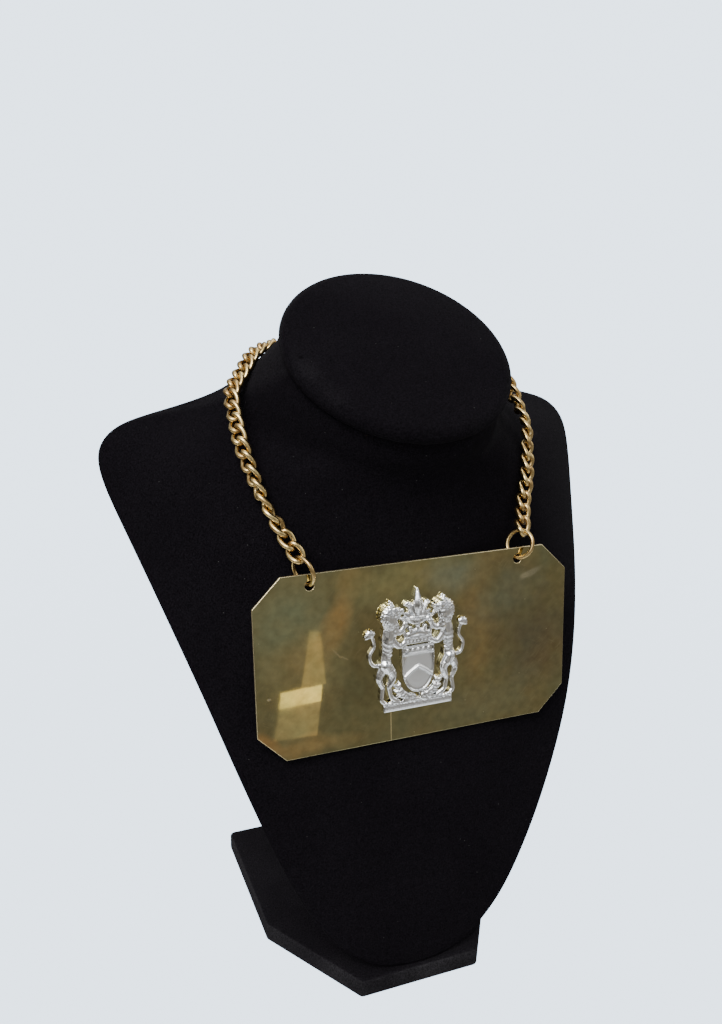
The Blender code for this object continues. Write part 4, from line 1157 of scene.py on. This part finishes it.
def link_path(middle, forward, sideways, out, twist):
    """The closed wire of one twisted curb link."""
    offsets = [link_offset(2 * math.pi * k / LINK_STEPS, twist) for k in range(LINK_STEPS)]
    return [middle + forward * x + sideways * y + out * z for x, y, z in offsets]


def loft_closed(bm, rows):
    """A loft whose last row joins its first."""
    rings = loft(bm, rows)
    first, last = rings[0], rings[-1]
    for i in range(len(first)):
        j = (i + 1) % len(first)
        bm.faces.new((last[i], last[j], first[j], first[i]))


def chain_run_mesh(run):
    """The separate links of one run of the chain."""
    bm = bmesh.new()
    for link in run:
        loft_closed(bm, wire_rings(link_path(*link), LINK_WIRE, LINK_SIDES))
    bmesh.ops.recalc_face_normals(bm, faces=bm.faces)
    return finish_mesh(bm, "chain")


links = link_frames(chain_stations())
for part in range(CHAIN_PARTS):
    run = [link for number, link in enumerate(links) if number * CHAIN_PARTS // len(links) == part]
    number = f"{part + 1:02d}"
    add_piece("links_" + number, chain_run_mesh(run), chain_brass, "chain_brass", "chain_" + number)

# ---------------------------------------------------------------------------------------------
# Setting: a pale floor that runs into a pale surround, and soft studio light.  The polished
# metal mirrors a dim room with windows, and the plate also mirrors three glowing cards.  The
# camera stands a little left of the front and above the neck, and looks down at the plate.
# ---------------------------------------------------------------------------------------------
SURROUND_COLOUR = (2.46, 2.92, 3.42, 1)
FLOOR_COLOUR = (0.6, 0.6, 0.6, 1)
FLOOR_RADIUS = 1.1
FLOOR_DROP = 0.2 * MM  # below the board's underside
ROOM_HEIGHTS = (  # height from straight down to straight up, colour
    (0.00, (1.30, 1.40, 1.50, 1)),
    (0.22, (1.00, 1.05, 1.10, 1)),
    (0.30, (0.30, 0.29, 0.27, 1)),
    (0.47, (0.28, 0.27, 0.25, 1)),
    (0.56, (0.45, 0.46, 0.47, 1)),
    (1.00, (0.75, 0.80, 0.86, 1)),
)
WINDOWS = (  # direction, cosine where its edge starts and ends, colour
    ((-0.55, -0.42, 0.72), 0.80, 0.93, (2.6, 2.7, 2.9, 1)),
    ((0.72, 0.10, 0.68), 0.86, 0.95, (1.3, 1.3, 1.3, 1)),
    ((-0.35, -0.45, 0.82), 0.981, 0.991, (15.0, 15.0, 15.0, 1)),
)
PLATE_SEES = Vector((0.38, -0.89, -0.23)).normalized()  # what the plate mirrors to the camera
LAMPS = {  # place, aim, width, height, watts
    "key": ((-0.9, -0.6, 1.3), (0, 0, 0.18), 0.7, 0.7, 10.0),
    "fill": ((1.2, -0.5, 0.8), (0, 0, 0.18), 0.8, 0.8, 2.0),
    "top": ((0.1, 0.5, 1.5), (0, 0, 0.2), 0.9, 0.9, 5.0),
}
CARDS = (  # corners, glow
    (
        ((0.308, -1.434, -0.263), (0.388, -1.418, -0.257), (0.394, -1.422, -0.225), (0.315, -1.438, -0.234)),
        (2.31, 2.01, 1.05),
    ),
    (
        ((0.353, -1.430, -0.232), (0.401, -1.420, -0.226), (0.402, -1.435, -0.127), (0.383, -1.440, -0.123)),
        (0.62, 0.54, 0.39),
    ),
    (
        ((0.291, -1.426, -0.322), (0.372, -1.410, -0.319), (0.388, -1.418, -0.257), (0.308, -1.434, -0.263)),
        (0.72, 0.62, 0.48),
    ),
)
CAMERA_PLACE = Vector((-0.1749, -0.3984, 0.3830))
CAMERA_RIGHT = Vector((0.931, -0.364, 0.031)).normalized()
CAMERA_AHEAD = Vector((0.352, 0.870, -0.346)).normalized()
CAMERA_LENS = 34.77  # millimetres, on a frame 36 high


def pale_floor():
    """Matt grey that lights the piece from below; the camera sees it as bright as the surround."""
    material, tree, shader = new_material("pale floor")
    shader.inputs["Base Color"].default_value = FLOOR_COLOUR
    shader.inputs["Roughness"].default_value = 1.0
    shader.inputs["Specular IOR Level"].default_value = 0.0
    glow = add_node(tree, "Emission", {"Color": SURROUND_COLOUR, "Strength": 1.0})
    place = add_node(tree, "TexCoord", output="Object")
    outwards = add_node(tree, "VectorMath", {0: place}, output="Value", operation="LENGTH")
    glowing = spread(tree, outwards, 0.28, 0.60, 0.94, 1.0)
    to_camera = add_node(tree, "LightPath", output="Is Camera Ray")
    glowing = calculate(tree, "MULTIPLY", to_camera, glowing)
    mixed = add_node(tree, "MixShader", {0: glowing, 1: shader.outputs[0], 2: glow})
    tree.links.new(mixed, tree.nodes["Material Output"].inputs[0])
    return material


def add_stage_piece(name, mesh, material):
    """A piece of the setting, which isn't part of the object."""
    mesh.materials.append(material)
    piece = bpy.data.objects.new(name, mesh)
    bpy.context.scene.collection.objects.link(piece)
    return piece


def room_colour(tree, way):
    """The mirrored room by direction: its heights, its windows and vague shapes in it."""
    patches = add_node(tree, "TexNoise", {"Vector": way, "Scale": 3.2, "Detail": 3.0})
    height = add_node(tree, "SeparateXYZ", {"Vector": way}, output="Z")
    height = calculate(tree, "ADD", height, spread(tree, patches, 0.25, 0.75, -0.12, 0.12))
    ramp = tree.nodes.new("ShaderNodeValToRGB")
    feed(tree, ramp.inputs[0], spread(tree, height, -1.0, 1.0))
    stops = ramp.color_ramp.elements
    for k, (level, colour) in enumerate(ROOM_HEIGHTS):
        stop = stops[k] if k < 2 else stops.new(level)
        stop.position, stop.color = level, colour
    room = ramp.outputs[0]
    for window, outer, inner, colour in WINDOWS:
        inputs = {0: way, 1: Vector(window).normalized()}
        nearness = add_node(tree, "VectorMath", inputs, output="Value", operation="DOT_PRODUCT")
        room = blend_colours(tree, spread(tree, nearness, outer, inner), room, colour)
    shapes = add_node(tree, "TexNoise", {"Vector": way, "Scale": 4.5, "Detail": 2.0})
    shapes = spread(tree, shapes, 0.43, 0.57, 0.22, 1.7)
    # Where the plate looks, the room stays even
    inputs = {0: way, 1: PLATE_SEES}
    even = add_node(tree, "VectorMath", inputs, output="Value", operation="DOT_PRODUCT")
    shapes = blend_colours(tree, spread(tree, even, 0.86, 0.94), shapes, (1, 1, 1, 1))
    return blend_colours(tree, 1.0, room, shapes, "MULTIPLY")


def add_surround():
    """The world: even and pale to the camera, a room to everything else."""
    world = bpy.data.worlds.new("surround")
    bpy.context.scene.world = world
    world.use_nodes = True
    tree = world.node_tree
    tree.nodes.clear()
    room = room_colour(tree, add_node(tree, "TexCoord", output="Generated"))
    seen = add_node(tree, "Background", {"Color": SURROUND_COLOUR, "Strength": 1.0})
    unseen = add_node(tree, "Background", {"Color": room, "Strength": 1.0})
    to_camera = add_node(tree, "LightPath", output="Is Camera Ray")
    mixed = add_node(tree, "MixShader", {0: to_camera, 1: unseen, 2: seen})
    tree.links.new(mixed, tree.nodes.new("ShaderNodeOutputWorld").inputs[0])


def add_lamp(name, place, aim, wide, high, watts):
    lamp_data = bpy.data.lights.new(name, "AREA")
    lamp_data.shape = "RECTANGLE"
    lamp_data.size, lamp_data.size_y = wide, high
    lamp_data.energy = watts
    lamp = bpy.data.objects.new(name, lamp_data)
    lamp.location = place
    lamp.rotation_euler = (Vector(aim) - Vector(place)).to_track_quat("-Z", "Y").to_euler()
    lamp.visible_camera = False
    bpy.context.scene.collection.objects.link(lamp)


def add_card(corners, glow):
    """A glowing card that only mirrors show."""
    material, _, shader = new_material("glowing card")
    shader.inputs["Base Color"].default_value = (0, 0, 0, 1)
    shader.inputs["Specular IOR Level"].default_value = 0.0
    shader.inputs["Emission Color"].default_value = (*glow, 1)
    shader.inputs["Emission Strength"].default_value = 1.0
    material.cycles.emission_sampling = "NONE"
    mesh = bpy.data.meshes.new("card")
    mesh.from_pydata(corners, [], [(0, 1, 2, 3)])
    card = add_stage_piece("card", mesh, material)
    card.visible_camera = card.visible_diffuse = card.visible_shadow = False


def add_camera():
    camera_data = bpy.data.cameras.new("camera")
    camera_data.sensor_fit = "VERTICAL"
    camera_data.sensor_height = 36
    camera_data.lens = CAMERA_LENS
    camera_data.clip_start = 0.01
    camera = bpy.data.objects.new("camera", camera_data)
    bpy.context.scene.collection.objects.link(camera)
    right = (CAMERA_RIGHT - CAMERA_AHEAD * CAMERA_RIGHT.dot(CAMERA_AHEAD)).normalized()
    turn = Matrix((right, right.cross(CAMERA_AHEAD), -CAMERA_AHEAD)).transposed()
    camera.matrix_world = Matrix.Translation(CAMERA_PLACE) @ turn.to_4x4()
    bpy.context.scene.camera = camera


floor_bm = bmesh.new()
bmesh.ops.create_circle(floor_bm, cap_ends=True, segments=96, radius=FLOOR_RADIUS)
floor = add_stage_piece("floor", finish_mesh(floor_bm, "floor"), pale_floor())
floor.location.z = -FLOOR_DROP
floor.visible_glossy = False

add_surround()
for name, lamp in LAMPS.items():
    add_lamp(name, *lamp)
for card_corners, glow in CARDS:
    add_card(card_corners, glow)
add_camera()

bpy.context.view_layer.update()
